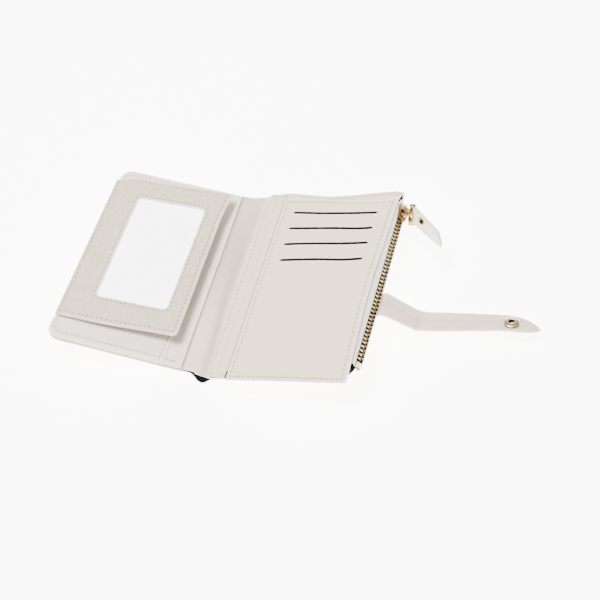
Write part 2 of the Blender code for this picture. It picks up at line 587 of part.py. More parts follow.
tip = [(1.0, half + 0.4, half + 0.3)]
for s in (SNAP_S - 20, SNAP_S - 7, SNAP_S + 1.5):
    tip.append((s, half - 0.5 * s / SNAP_S, half - 0.9 * s / SNAP_S))
tip += [(50.5, 7.8, 5.0), (54.1, 8.0, 2.8), (57.0, 7.8, 0.4), (59.3, 7.0, -2.2), (60.8, 6.0, -4.1), (STRAP_TIP, 5.3, -4.9)]
X, Y, Z = Vector((1, 0, 0)), Vector((0, 1, 0)), Vector((0, 0, 1))
ribbon("strap_end", E_END, [(X * s, Y, Z, a, b) for s, a, b in tip], STRAP_W, STRAP_T, LEATHER)
lathe("snap_socket", E_END, GOLD, [(1.85, 1.0), (4.4, 1.0), (4.55, 1.35), (4.2, 1.8), (3.6, 2.1), (3.1, 2.0), (2.7, 2.05), (2.3, 2.25), (1.85, 2.05)], 28, (SNAP_S, SNAP_Y, 0))
disc("snap_cap", E_END, GOLD, [(0, -1.0), (5.0, -1.0), (5.0, -1.35), (4.4, -1.9), (2.8, -2.25), (0, -2.35)], 28, (SNAP_S, SNAP_Y, 0))

bpy.context.view_layer.update()
if __name__ == "__main__":
    def show(label, m):
        t = m.translation * 0.001
        print("FRAME", label, [round(c, 6) for c in t])
    for label, m in (("right", RIGHT), ("spine", SPINE_F), ("left", LEFT), ("flap", FLAP), ("strap_mid", STRAP_MID), ("strap_end", STRAP_END), ("slider", SLIDER), ("pull", PULL)):
        show(label, m)
    print("FRAME hinge", [round(c * 0.001, 6) for c in PULL_HINGE.translation])
    print("FRAME zip dirs", [[round(c, 6) for c in ZIP.to_3x3().col[i]] for i in range(3)])
    ax = STRAP_MID.to_3x3() @ CREASE_AXIS_LOCAL
    print("FRAME crease axis", [round(c, 6) for c in ax], round(math.degrees(CREASE_ANGLE), 3))
    print("FRAME stud local", [round(c, 3) for c in STUD], "gape", round(GAPE, 3))
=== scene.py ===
# Looks of the compact wallet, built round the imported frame. Lengths in the tables below are in millimetres.
import math
import random
import bpy
import numpy as np
from mathutils import Matrix, Vector


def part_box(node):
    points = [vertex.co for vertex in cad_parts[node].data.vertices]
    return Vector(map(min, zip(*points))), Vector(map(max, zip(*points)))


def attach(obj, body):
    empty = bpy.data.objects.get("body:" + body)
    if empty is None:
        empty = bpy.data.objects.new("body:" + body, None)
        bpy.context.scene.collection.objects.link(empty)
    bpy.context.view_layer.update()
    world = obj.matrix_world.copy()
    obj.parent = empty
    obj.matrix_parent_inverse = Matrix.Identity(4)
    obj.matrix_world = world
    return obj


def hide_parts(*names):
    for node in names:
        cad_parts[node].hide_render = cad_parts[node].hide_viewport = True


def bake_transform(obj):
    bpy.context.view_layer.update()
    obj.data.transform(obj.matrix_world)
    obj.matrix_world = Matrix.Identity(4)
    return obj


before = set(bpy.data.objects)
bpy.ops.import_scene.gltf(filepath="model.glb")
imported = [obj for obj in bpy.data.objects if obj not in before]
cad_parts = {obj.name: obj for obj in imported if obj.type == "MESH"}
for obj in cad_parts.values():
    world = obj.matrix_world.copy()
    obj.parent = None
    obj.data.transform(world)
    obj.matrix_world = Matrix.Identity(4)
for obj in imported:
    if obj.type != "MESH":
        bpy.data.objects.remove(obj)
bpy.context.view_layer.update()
MM = 0.001
RNG = random.Random(7)

# ------------------------------------------------------------------ the same driving sizes as the frame
SPINE, TILT_R, TILT_L, COVER_T, AXIS_Z, ORIGIN_X = 18.0, 10.0, 12.0, 1.6, 0.8, 44.5
RIGHT_W, PANEL_X0 = 88.3, 13.4
LEFT_W = 85.0
FLAP_HINGE_X, FLAP_HINGE_N, FLAP_TILT = 84.2, 4.7, 4.5
WIN = (20.0, 65.3, -33.8, 40.4)
ZIP_X, ZIP_N, ZIP_YAW, ZIP_LEAN = 92.15, 4.0, 1.66, 80.0
TOOTH_PITCH, TOOTH_COUNT, ZIP_Y0, SLIDER_Y = 2.5, 40, -49.5, 51.0
STRAP_Y, STRAP_HX, STRAP_HN = -11.5, 97.2, -2.0
STRAP_DROP, STRAP_L1, STRAP_L1B, STRAP_TIP, SNAP_S, SNAP_Y = 35.6, 20.8, 5.2, 61.4, 45.6, -1.0
STRAP_YAW, STRAP_PITCH, TWIST_1, TWIST_2 = 6.4, 1.9, -17.0, -22.0
PULL_SWING, RING_DROOP, PULL_DROOP, PULL_ROLL = 40.0, 8.0, 16.0, 35.0


def rot_y(deg):
    return Matrix.Rotation(math.radians(deg), 4, 'Y')


def rot_z(deg):
    return Matrix.Rotation(math.radians(deg), 4, 'Z')


def shift(x, y, z):
    return Matrix.Translation(Vector((x, y, z)))


ROOT = shift(-ORIGIN_X, 0, 0)
RIGHT = ROOT @ shift(SPINE / 2, 0, AXIS_Z) @ rot_y(-TILT_R)
LEFT = ROOT @ shift(-SPINE / 2, 0, AXIS_Z) @ rot_y(TILT_L)
FLAP = LEFT @ shift(-FLAP_HINGE_X, 0, FLAP_HINGE_N) @ rot_y(-FLAP_TILT)
_l = math.radians(ZIP_LEAN)
ZD = Vector((math.cos(_l), 0, -math.sin(_l)))
ZM = Vector((math.sin(_l), 0, math.cos(_l)))
_zip = Matrix.Identity(4)
for _i, _a in enumerate((ZM, Vector((0, 1, 0)), -ZD)):
    for _j in range(3):
        _zip[_j][_i] = _a[_j]
ZIP = RIGHT @ shift(ZIP_X, 0, ZIP_N) @ rot_z(-ZIP_YAW) @ _zip
SLIDER = ZIP @ shift(0, SLIDER_Y, 0)
HINGE = SLIDER @ shift(3.3, 0, 0)
RING = HINGE @ rot_z(-PULL_SWING) @ rot_y(RING_DROOP)
PULL = RING @ rot_y(PULL_DROOP - RING_DROOP) @ Matrix.Rotation(math.radians(-PULL_ROLL), 4, 'X')
STRAP_MID = RIGHT @ shift(STRAP_HX, STRAP_Y, STRAP_HN) @ rot_y(TILT_R)


def smooth(t):
    t = np.clip(t, 0.0, 1.0)
    return t * t * (3 - 2 * t)


def gauss(t):
    return np.exp(-t * t)


# ------------------------------------------------------------------ the wallet's section, bent smoothly at its two folds
_S = np.linspace(-110, 110, 4401)
_TH = np.radians(TILT_R) * smooth((_S - 6) / 6) - np.radians(TILT_L) * smooth((-_S - 6) / 6)
_dx, _dz = np.cos(_TH), np.sin(_TH)
_i0 = len(_S) // 2
_X = np.concatenate(([0], np.cumsum((_dx[1:] + _dx[:-1]) / 2 * np.diff(_S))))
_Z = np.concatenate(([0], np.cumsum((_dz[1:] + _dz[:-1]) / 2 * np.diff(_S))))
_X += -ORIGIN_X - _X[_i0]
_Z += AXIS_Z - _Z[_i0]


def wall(s, y, n):
    """World millimetres of a point s along the section from the spine's middle, y along the spine, n above the fold lines."""
    th = np.interp(s, _S, _TH)
    return np.stack([np.interp(s, _S, _X) - n * np.sin(th), y + 0 * th, np.interp(s, _S, _Z) + n * np.cos(th)], -1)


def in_frame(m):
    a = np.array(m.to_3x3())
    t = np.array(m.translation)

    def put(x, y, n):
        p = np.stack([x + 0 * y + 0 * n, y + 0 * x + 0 * n, n + 0 * x + 0 * y], -1)
        return p @ a.T + t
    return put


def floor_drop(x):
    return np.minimum(0.0, -(x * math.tan(math.radians(TILT_R)))) * (x > 0)


def bow(x, y):
    wx = 1 - smooth((x - 64) / 22)
    back = 1 - 0.45 * smooth((y - 46) / 18)
    front = 1 - smooth((-y - 46) / 16)
    return wx * np.where(y > 0, back, front)


def cover_n(x, y):
    """Middle of the outer leather on the zipped half, x from the fold."""
    return bow(x, y) * floor_drop(x)


def ripple(x, y, a, k=0.0):
    """Slow unevenness of hand-set leather."""
    return a * (np.sin(x * 0.071 + 1.3 + k) * np.cos(y * 0.053 + 0.4 + k) + 0.5 * np.sin(x * 0.157 + y * 0.113 + 2.1 * k) + 0.3 * np.cos(y * 0.21 - x * 0.09 + k))


# ------------------------------------------------------------------ materials
def nodes_of(name):
    m = bpy.data.materials.new(name)
    m.use_nodes = True
    nt = m.node_tree
    b = nt.nodes["Principled BSDF"]
    return m, nt, b


def add(nt, kind, **props):
    n = nt.nodes.new(kind)
    for k, v in props.items():
        setattr(n, k, v)
    return n


def mapping(nt, scale, rot=(0, 0, 0)):
    tc = add(nt, "ShaderNodeTexCoord")
    mp = add(nt, "ShaderNodeMapping")
    mp.inputs["Scale"].default_value = scale
    mp.inputs["Rotation"].default_value = rot
    nt.links.new(tc.outputs["Object"], mp.inputs["Vector"])
    return mp.outputs["Vector"]


def ramp(nt, src, stops):
    r = add(nt, "ShaderNodeValToRGB")
    e = r.color_ramp.elements
    e[0].position, e[0].color = stops[0][0], stops[0][1]
    e[1].position, e[1].color = stops[-1][0], stops[-1][1]
    for p, c in stops[1:-1]:
        x = e.new(p)
        x.color = c
    nt.links.new(src, r.inputs["Fac"])
    return r.outputs["Color"]


def mix(nt, a, b, fac, mode='MIX'):
    m = add(nt, "ShaderNodeMix", data_type='RGBA', blend_type=mode)
    for sock, v in ((m.inputs[6], a), (m.inputs[7], b), (m.inputs[0], fac)):
        if hasattr(v, "links"):
            nt.links.new(v, sock)
        elif isinstance(v, (int, float)):
            sock.default_value = v
        else:
            sock.default_value = (v[0], v[1], v[2], 1)
    return m.outputs[2]


def math_node(nt, op, a, b=0.0):
    m = add(nt, "ShaderNodeMath", operation=op)
    for i, v in enumerate((a, b)):
        if hasattr(v, "links"):
            nt.links.new(v, m.inputs[i])
        else:
            m.inputs[i].default_value = v
    return m.outputs[0]


def attr(nt, name):
    a = add(nt, "ShaderNodeAttribute")
    a.attribute_name = name
    return a.outputs["Fac"]


def c4(c, k=1.0):
    return (c[0] * k, c[1] * k, c[2] * k, 1)


def leather(name, base, edge, grain=1500.0, bump=0.05, rough=0.56, streak=0.0, mottle=0.05):
    """Coated leather: fine pebbled grain, soft mottling, paler edges that are partly wear and partly painted highlight,
    darker seams, grooves and crevices that are partly painted shade.
    """
    m, nt, b = nodes_of(name)
    big = add(nt, "ShaderNodeTexNoise")
    nt.links.new(mapping(nt, (42, 42, 42)), big.inputs["Vector"])
    big.inputs["Detail"].default_value = 5
    fine = add(nt, "ShaderNodeTexNoise")
    nt.links.new(mapping(nt, (420, 420, 420)), fine.inputs["Vector"])
    fine.inputs["Detail"].default_value = 6
    fine.inputs["Roughness"].default_value = 0.65
    col = ramp(nt, big.outputs["Fac"], [(0.3, c4(base, 1 - mottle)), (0.55, c4(base)), (0.75, c4(base, 1 + mottle * 0.6))])
    col = mix(nt, col, c4(base, 1 - 1.6 * mottle), math_node(nt, 'MULTIPLY', ramp(nt, fine.outputs["Fac"], [(0.45, (0, 0, 0, 1)), (0.7, (1, 1, 1, 1))]), 0.35))
    vor = add(nt, "ShaderNodeTexVoronoi", feature='DISTANCE_TO_EDGE')
    nt.links.new(mapping(nt, (grain, grain, grain)), vor.inputs["Vector"])
    vor.inputs["Scale"].default_value = 1.0
    peb = ramp(nt, vor.outputs["Distance"], [(0.0, (0, 0, 0, 1)), (0.18, (0.75, 0.75, 0.75, 1)), (0.5, (1, 1, 1, 1))])
    col = mix(nt, c4(base, 0.86), col, math_node(nt, 'MAXIMUM', peb, 0.55))
    height = math_node(nt, 'ADD', math_node(nt, 'MULTIPLY', peb, 0.6), math_node(nt, 'MULTIPLY', fine.outputs["Fac"], 0.9))
    if streak:
        s1 = add(nt, "ShaderNodeTexNoise")
        nt.links.new(mapping(nt, (900, 26, 900)), s1.inputs["Vector"])
        s1.inputs["Detail"].default_value = 4
        s2 = add(nt, "ShaderNodeTexNoise")
        nt.links.new(mapping(nt, (45, 900, 300)), s2.inputs["Vector"])
        s2.inputs["Detail"].default_value = 3
        f1 = ramp(nt, s1.outputs["Fac"], [(0.38, (0, 0, 0, 1)), (0.62, (1, 1, 1, 1))])
        f2 = ramp(nt, s2.outputs["Fac"], [(0.4, (0, 0, 0, 1)), (0.62, (1, 1, 1, 1))])
        both = math_node(nt, 'ADD', math_node(nt, 'MULTIPLY', f1, 0.62), math_node(nt, 'MULTIPLY', f2, 0.38))
        col = mix(nt, col, c4((base[0] * 0.56, base[1] * 0.56, base[2] * 0.57)), math_node(nt, 'MULTIPLY', both, streak))
        height = math_node(nt, 'SUBTRACT', height, math_node(nt, 'MULTIPLY', both, 1.2))
    # paler edges: partly real wear, partly painted highlight on lit edges
    col = mix(nt, col, c4(edge), math_node(nt, 'MULTIPLY', attr(nt, "wear_and_painted_highlight"), 0.85))
    # darkening: painted shade in stitch grooves, crevices and dips
    col = mix(nt, col, c4((base[0] * 0.44, base[1] * 0.41, base[2] * 0.40)), attr(nt, "seam_and_painted_shade"))
    nt.links.new(col, b.inputs["Base Color"])
    rr = ramp(nt, fine.outputs["Fac"], [(0.3, (rough - 0.08,) * 3 + (1,)), (0.7, (rough + 0.1,) * 3 + (1,))])
    nt.links.new(rr, b.inputs["Roughness"])
    bp = add(nt, "ShaderNodeBump")
    bp.inputs["Strength"].default_value = 0.55
    bp.inputs["Distance"].default_value = bump * MM
    nt.links.new(height, bp.inputs["Height"])
    nt.links.new(bp.outputs["Normal"], b.inputs["Normal"])
    b.inputs["Specular IOR Level"].default_value = 0.35
    b.inputs["Sheen Weight"].default_value = 0.06
    return m


def woven(name, base, dark, su, sv, bump=0.08, rough=0.85, sheen=0.15):
    """Plain-woven cloth or tape: crossing ribs."""
    m, nt, b = nodes_of(name)
    w1 = add(nt, "ShaderNodeTexWave", wave_type='BANDS', bands_direction='Y')
    w2 = add(nt, "ShaderNodeTexWave", wave_type='BANDS', bands_direction='DIAGONAL')
    nt.links.new(mapping(nt, (sv, su, sv)), w1.inputs["Vector"])
    nt.links.new(mapping(nt, (sv, su * 0.35, sv)), w2.inputs["Vector"])
    for w in (w1, w2):
        w.inputs["Scale"].default_value = 1.0
        w.inputs["Distortion"].default_value = 0.6
    noise = add(nt, "ShaderNodeTexNoise")
    nt.links.new(mapping(nt, (900, 900, 900)), noise.inputs["Vector"])
    noise.inputs["Detail"].default_value = 4
    h = math_node(nt, 'MULTIPLY', w1.outputs["Fac"], w2.outputs["Fac"])
    h = math_node(nt, 'ADD', h, math_node(nt, 'MULTIPLY', noise.outputs["Fac"], 0.5))
    col = ramp(nt, h, [(0.15, c4(dark)), (0.75, c4(base)), (1.0, c4(base, 1.08))])
    # painted shade: darkened nearly to black where the piece runs into gaps and crevices
    col = mix(nt, col, c4(dark, 0.03), math_node(nt, 'MULTIPLY', attr(nt, "seam_and_painted_shade"), 1.0))
    nt.links.new(col, b.inputs["Base Color"])
    bp = add(nt, "ShaderNodeBump")
    bp.inputs["Strength"].default_value = 0.7
    bp.inputs["Distance"].default_value = bump * MM
    nt.links.new(h, bp.inputs["Height"])
    nt.links.new(bp.outputs["Normal"], b.inputs["Normal"])
    b.inputs["Roughness"].default_value = rough
    b.inputs["Sheen Weight"].default_value = sheen
    if not sheen:
        b.inputs["Specular IOR Level"].default_value = 0.12
    return m


def metal(name, base, dark, rough, wear_scale=300.0, spread=0.12, bump=0.02):
    m, nt, b = nodes_of(name)
    n1 = add(nt, "ShaderNodeTexNoise")
    nt.links.new(mapping(nt, (wear_scale, wear_scale, wear_scale)), n1.inputs["Vector"])
    n1.inputs["Detail"].default_value = 6
    scr = add(nt, "ShaderNodeTexNoise")
    nt.links.new(mapping(nt, (300, 4000, 900), (0.3, 0.5, 0.9)), scr.inputs["Vector"])
    scr.inputs["Detail"].default_value = 3
    col = ramp(nt, n1.outputs["Fac"], [(0.3, c4(dark)), (0.6, c4(base)), (0.8, c4(base, 1.1))])
    # painted shade: darkened nearly to black in gaps and under flanges
    col = mix(nt, col, c4(dark, 0.08), attr(nt, "seam_and_painted_shade"))
    nt.links.new(col, b.inputs["Base Color"])
    rr = ramp(nt, math_node(nt, 'MULTIPLY', math_node(nt, 'ADD', n1.outputs["Fac"], scr.outputs["Fac"]), 0.5), [(0.35, (rough, rough, rough, 1)), (0.65, (rough + spread,) * 3 + (1,))])
    nt.links.new(rr, b.inputs["Roughness"])
    bp = add(nt, "ShaderNodeBump")
    bp.inputs["Strength"].default_value = 0.3
    bp.inputs["Distance"].default_value = bump * MM
    nt.links.new(scr.outputs["Fac"], bp.inputs["Height"])
    nt.links.new(bp.outputs["Normal"], b.inputs["Normal"])
    b.inputs["Metallic"].default_value = 1.0
    return m


def plain(name, base, rough, noise_scale=200.0, amount=0.05, bump=0.01):
    m, nt, b = nodes_of(name)
    n1 = add(nt, "ShaderNodeTexNoise")
    nt.links.new(mapping(nt, (noise_scale,) * 3), n1.inputs["Vector"])
    n1.inputs["Detail"].default_value = 5
    nt.links.new(ramp(nt, n1.outputs["Fac"], [(0.3, c4(base, 1 - amount)), (0.7, c4(base))]), b.inputs["Base Color"])
    bp = add(nt, "ShaderNodeBump")
    bp.inputs["Strength"].default_value = 0.3
    bp.inputs["Distance"].default_value = bump * MM
    nt.links.new(n1.outputs["Fac"], bp.inputs["Height"])
    nt.links.new(bp.outputs["Normal"], b.inputs["Normal"])
    b.inputs["Roughness"].default_value = rough
    return m


CREAM = (0.880, 0.712, 0.562)
# paler edge colour: partly worn edges, partly painted highlight
EDGE_WEAR_AND_HIGHLIGHT = (0.95, 0.88, 0.79)
M_LEATHER = leather("leather_cream", CREAM, EDGE_WEAR_AND_HIGHLIGHT)
M_FLAP = leather("leather_brushed", (0.845, 0.682, 0.545), EDGE_WEAR_AND_HIGHLIGHT, bump=0.12, streak=1.0, mottle=0.14)
M_STRAP = leather("leather_strap", (0.715, 0.552, 0.458), EDGE_WEAR_AND_HIGHLIGHT, mottle=0.09)
# brighter copy of the cream leather: painted light standing in for the stronger light on the tab
M_TAB_PAINTED_BRIGHT = leather("leather_tab_painted_bright", (1.0, 0.875, 0.765), (1.0, 0.93, 0.85))
# greyer copy of the cream leather for the pieces under the window flap: a painted shade tint that keeps the flap's
# shadow grey
M_LEATHER_GREYED_FOR_SHADOW = leather("leather_greyed_for_shadow", (0.800, 0.715, 0.640), EDGE_WEAR_AND_HIGHLIGHT)
M_THREAD = plain("thread_cream", (0.84, 0.73, 0.62), 0.7, 2500, 0.25, 0.05)
# needle holes are dark caps over the surface: painted shade standing in for the hollow of each hole
M_NEEDLE_HOLE_SHADE = plain("needle_hole_painted_shade", (0.13, 0.10, 0.085), 0.9, 900, 0.3)
# near-black cloth for the lining, also used as painted shade for the strips behind the zip teeth, the eyelet holes and
# the press stud's well
M_BLACK_CLOTH_AND_SHADE = woven("lining_black", (0.0022, 0.0020, 0.0022), (0.0007, 0.0007, 0.0008), 2600, 2600, sheen=0.0)
# near-black cloth for the card sleeves, also used as painted shade for the strips that fill the slits
M_SLOT_CLOTH_AND_SHADE = woven("slot_cloth_and_painted_shade", (0.0045, 0.0025, 0.0022), (0.0012, 0.0008, 0.0008), 2600, 2600, sheen=0.0)
M_TAPE = woven("zip_tape", (0.90, 0.90, 0.82), (0.74, 0.745, 0.665), 5200, 1800, 0.12)
M_TEETH = metal("antique_brass", (0.90, 0.68, 0.33), (0.20, 0.12, 0.05), 0.30, 500)
M_GOLD = metal("polished_gold", (0.50, 0.345, 0.145), (0.18, 0.10, 0.035), 0.29, 260)
M_SNAP = metal("pale_gold", (0.60, 0.47, 0.27), (0.28, 0.19, 0.09), 0.24, 300)
M_STOP = metal("pale_brass", (0.66, 0.56, 0.32), (0.46, 0.37, 0.20), 0.3, 300)
# blank card behind the window; it is made to glow below (painted light)
M_CARD_GLOWING = plain("blank_card", (0.985, 0.985, 0.985), 0.5, 150, 0.01)


def film_material():
    m, nt, b = nodes_of("clear_film")
    n1 = add(nt, "ShaderNodeTexNoise")
    nt.links.new(mapping(nt, (60, 60, 60)), n1.inputs["Vector"])
    n1.inputs["Detail"].default_value = 2
    nt.links.new(ramp(nt, n1.outputs["Fac"], [(0.3, (0.93, 0.94, 0.95, 1)), (0.7, (0.97, 0.97, 0.98, 1))]), b.inputs["Base Color"])
    bp = add(nt, "ShaderNodeBump")
    bp.inputs["Strength"].default_value = 0.2
    bp.inputs["Distance"].default_value = 0.0002
    nt.links.new(n1.outputs["Fac"], bp.inputs["Height"])
    nt.links.new(bp.outputs["Normal"], b.inputs["Normal"])
    b.inputs["Roughness"].default_value = 0.08
    b.inputs["Alpha"].default_value = 0.06
    b.inputs["Specular IOR Level"].default_value = 0.5
    return m


M_FILM = film_material()
# the blank card glows: painted light that keeps the window pure white
M_CARD_GLOWING.node_tree.nodes["Principled BSDF"].inputs["Emission Color"].default_value = (1.0, 1.0, 1.0, 1)
M_CARD_GLOWING.node_tree.nodes["Principled BSDF"].inputs["Emission Strength"].default_value = 3.2


# ------------------------------------------------------------------ mesh helpers
def build(name, verts, faces, mat, attrs=None, smooth_faces=True, sharp=None):
    """A mesh object from millimetre points."""
    me = bpy.data.meshes.new(name)
    v = np.asarray(verts, float) * MM
    me.from_pydata([tuple(p) for p in v], [], faces)
    me.update()
    ob = bpy.data.objects.new(name, me)
    bpy.context.scene.collection.objects.link(ob)
    me.materials.append(mat)
    for k in ("wear_and_painted_highlight", "seam_and_painted_shade"):
        a = me.attributes.new(k, 'FLOAT', 'POINT')
        vals = (attrs or {}).get(k)
        if vals is not None:
            a.data.foreach_set("value", np.asarray(vals, np.float32))
    if smooth_faces:
        me.shade_smooth()
        if sharp:
            me.set_sharp_from_angle(angle=math.radians(sharp))
    return ob


class Rect:
    """A rectangle with its own radius at each corner (x0y0, x1y0, x1y1, x0y1)."""

    def __init__(self, x0, x1, y0, y1, radii):
        self.x0, self.x1, self.y0, self.y1 = x0, x1, y0, y1
        self.r = radii

    def place(self, x, y):
        x, y = x.copy(), y.copy()
        for i, (cx, cy, sx, sy) in enumerate(((self.x0, self.y0, -1, -1), (self.x1, self.y0, 1, -1), (self.x1, self.y1, 1, 1), (self.x0, self.y1, -1, 1))):
            r = self.r[i]
            if r <= 0:
                continue
            dx = (x - (cx - sx * r)) * sx
            dy = (y - (cy - sy * r)) * sy
            m = (dx > 0) & (dy > 0)
            u, v = dx[m] / r, dy[m] / r
            x[m] += sx * (r * u * np.sqrt(1 - v * v / 2) - dx[m])
            y[m] += sy * (r * v * np.sqrt(1 - u * u / 2) - dy[m])
        return x, y

    def inside(self, x, y):
        """Distance in from the edge."""
        d = np.minimum(np.minimum(x - self.x0, self.x1 - x), np.minimum(y - self.y0, self.y1 - y))
        for i, (cx, cy, sx, sy) in enumerate(((self.x0, self.y0, -1, -1), (self.x1, self.y0, 1, -1), (self.x1, self.y1, 1, 1), (self.x0, self.y1, -1, 1))):
            r = self.r[i]
            if r <= 0:
                continue
            dx = (x - (cx - sx * r)) * sx
            dy = (y - (cy - sy * r)) * sy
            m = (dx > 0) & (dy > 0)
            d = np.where(m, r - np.hypot(dx, dy), d)
        return np.maximum(d, 0)

    def loop(self, s, step=0.5):
        """The outline, s inside the edge, as closely spaced points."""
        pts = []
        x0, x1, y0, y1 = self.x0 + s, self.x1 - s, self.y0 + s, self.y1 - s
        cs = ((x0, y0, -1, -1, 180), (x1, y0, 1, -1, 270), (x1, y1, 1, 1, 0), (x0, y1, -1, 1, 90))
        for i, (cx, cy, sx, sy, a0) in enumerate(cs):
            r = max(0.0, self.r[i] - s)
            if r > 0.05:
                k = max(3, int(r * 1.57 / step))
                for j in range(k + 1):
                    a = math.radians(a0 + 90 * j / k)
                    pts.append((cx - sx * r + r * math.cos(a), cy - sy * r + r * math.sin(a)))
            else:
                pts.append((cx, cy))
        out = []
        for i in range(len(pts)):
            a, b = pts[i], pts[(i + 1) % len(pts)]
            L = math.dist(a, b)
            k = max(1, int(L / step))
            for j in range(k):
                out.append((a[0] + (b[0] - a[0]) * j / k, a[1] + (b[1] - a[1]) * j / k))
        return out


def grid_lines(a, b, ra, rb, half, step, extra=(), open_a=False, open_b=False):
    out = []
    for k in (0, 0.06, 0.2, 0.42, 0.7, 1.0, 1.6, 2.6):
        if not open_a:
            out.append(a + k * half)
        if not open_b:
            out.append(b - k * half)
    n = max(1, int(round((b - a) / step)))
    out += [a + (b - a) * i / n for i in range(n + 1)]
    for r, c, sg in ((ra, a, 1), (rb, b, -1)):
        k = int(r / 1.0)
        out += [c + sg * r * (i + 1) / (k + 1) for i in range(k + 1)] if r > 0 else []
    for e in extra:
        out += [e - 0.7, e - 0.32, e, e + 0.32, e + 0.7]
    out = sorted(o for o in out if a - 1e-6 <= o <= b + 1e-6)
    keep = [out[0]]
    for o in out[1:]:
        if o - keep[-1] > 0.045:
            keep.append(o)
    keep[-1] = b
    return np.array(keep)


def sheet(name, rect, mid, half, put, mat, step=2.6, xs=(), ys=(), rows=(), dip=0.24, warp=None, bead=0.0, wear_and_painted_highlight=1.0, open_sides="", under=None, top_extra=None, dark=None):
    """A leather or cloth sheet with rolled edges.
    mid(x, y) is its middle height, half its half thickness, put(x, y, n) its place.
    rows: stitch rows as (distance in from the edge, where(x, y)). warp(x, y) moves the plan. open_sides names sides (x0 x1) that run on into another piece."""
    r = rect.r
    gx = grid_lines(rect.x0, rect.x1, max(r[0], r[3]), max(r[1], r[2]), half, step, xs, "x0" in open_sides, "x1" in open_sides)
    gy = grid_lines(rect.y0, rect.y1, max(r[0], r[1]), max(r[2], r[3]), half, step, ys)
    X, Y = np.meshgrid(gx, gy, indexing='ij')
    X, Y = rect.place(X, Y)
    big = Rect(rect.x0 - (50 if "x0" in open_sides else 0), rect.x1 + (50 if "x1" in open_sides else 0), rect.y0, rect.y1, r)

    def relief(x, y):
        d = big.inside(x, y)
        e = np.sqrt(np.clip(1 - (1 - np.clip(d / half, 0, 1)) ** 2, 0, 1))
        h = half * e + bead * gauss((d - 0.9) / 0.55) * e
        for s, where in rows:
            h = h - dip * gauss((d - s) / 0.42) * where(x, y)
        if top_extra is not None:
            h = h + top_extra(x, y)
        return d, e, h

    def at(x, y, lift=0.0):
        x, y = np.asarray(x, float), np.asarray(y, float)
        d, e, h = relief(x, y)
        px, py = warp(x, y) if warp else (x, y)
        return put(px, py, mid(x, y) + h + lift)

    d, e, h = relief(X, Y)
    PX, PY = warp(X, Y) if warp else (X, Y)
    M = mid(X, Y)
    top = put(PX, PY, M + h)
    low = put(PX, PY, (under(X, Y) if under else M) - half * e)
    nx, ny = X.shape
    verts = np.concatenate([top.reshape(-1, 3), low.reshape(-1, 3)])
    # paler edges are partly real wear and partly painted highlight; stitch rows are darkened as painted shade in their
    # groove, and dark() adds painted shade in dips and crevices
    w = (gauss(d / 0.75) * wear_and_painted_highlight).reshape(-1)
    seam_and_painted_shade = np.zeros_like(w)
    for s, where in rows:
        seam_and_painted_shade = np.maximum(seam_and_painted_shade, (gauss((d - s) / 0.40) * where(X, Y)).reshape(-1) * 0.42)
    if dark is not None:
        seam_and_painted_shade = np.maximum(seam_and_painted_shade, np.clip(dark(X, Y), 0, 1).reshape(-1))
    attrs = {"wear_and_painted_highlight": np.concatenate([w, w]), "seam_and_painted_shade": np.concatenate([seam_and_painted_shade, seam_and_painted_shade * 0])}
    N = nx * ny
    idx = np.arange(N).reshape(nx, ny)
    faces = []
    a, b, c, q = idx[:-1, :-1].ravel(), idx[1:, :-1].ravel(), idx[1:, 1:].ravel(), idx[:-1, 1:].ravel()
    faces += [list(f) for f in zip(a.tolist(), b.tolist(), c.tolist(), q.tolist())]
    faces += [list(f) for f in zip((a + N).tolist(), (q + N).tolist(), (c + N).tolist(), (b + N).tolist())]
    rim = [idx[i, 0] for i in range(nx)] + [idx[nx - 1, j] for j in range(1, ny)] + [idx[i, ny - 1] for i in range(nx - 2, -1, -1)] + [idx[0, j] for j in range(ny - 2, 0, -1)]
    for i in range(len(rim)):
        p, s = int(rim[i]), int(rim[(i + 1) % len(rim)])
        faces.append([p, p + N, s + N, s])
    ob = build(name, verts, faces, mat, attrs)
    weld(ob)
    if open_sides:
        ob.data.set_sharp_from_angle(angle=math.radians(62))
    return ob, at


def weld(ob, dist=1e-6):
    import bmesh
    bm = bmesh.new()
    bm.from_mesh(ob.data)
    bmesh.ops.remove_doubles(bm, verts=bm.verts, dist=dist)
    bmesh.ops.dissolve_degenerate(bm, edges=bm.edges, dist=dist)
    bmesh.ops.recalc_face_normals(bm, faces=bm.faces)
    bm.to_mesh(ob.data)
    bm.free()
    ob.data.update()
    ob.data.shade_smooth()


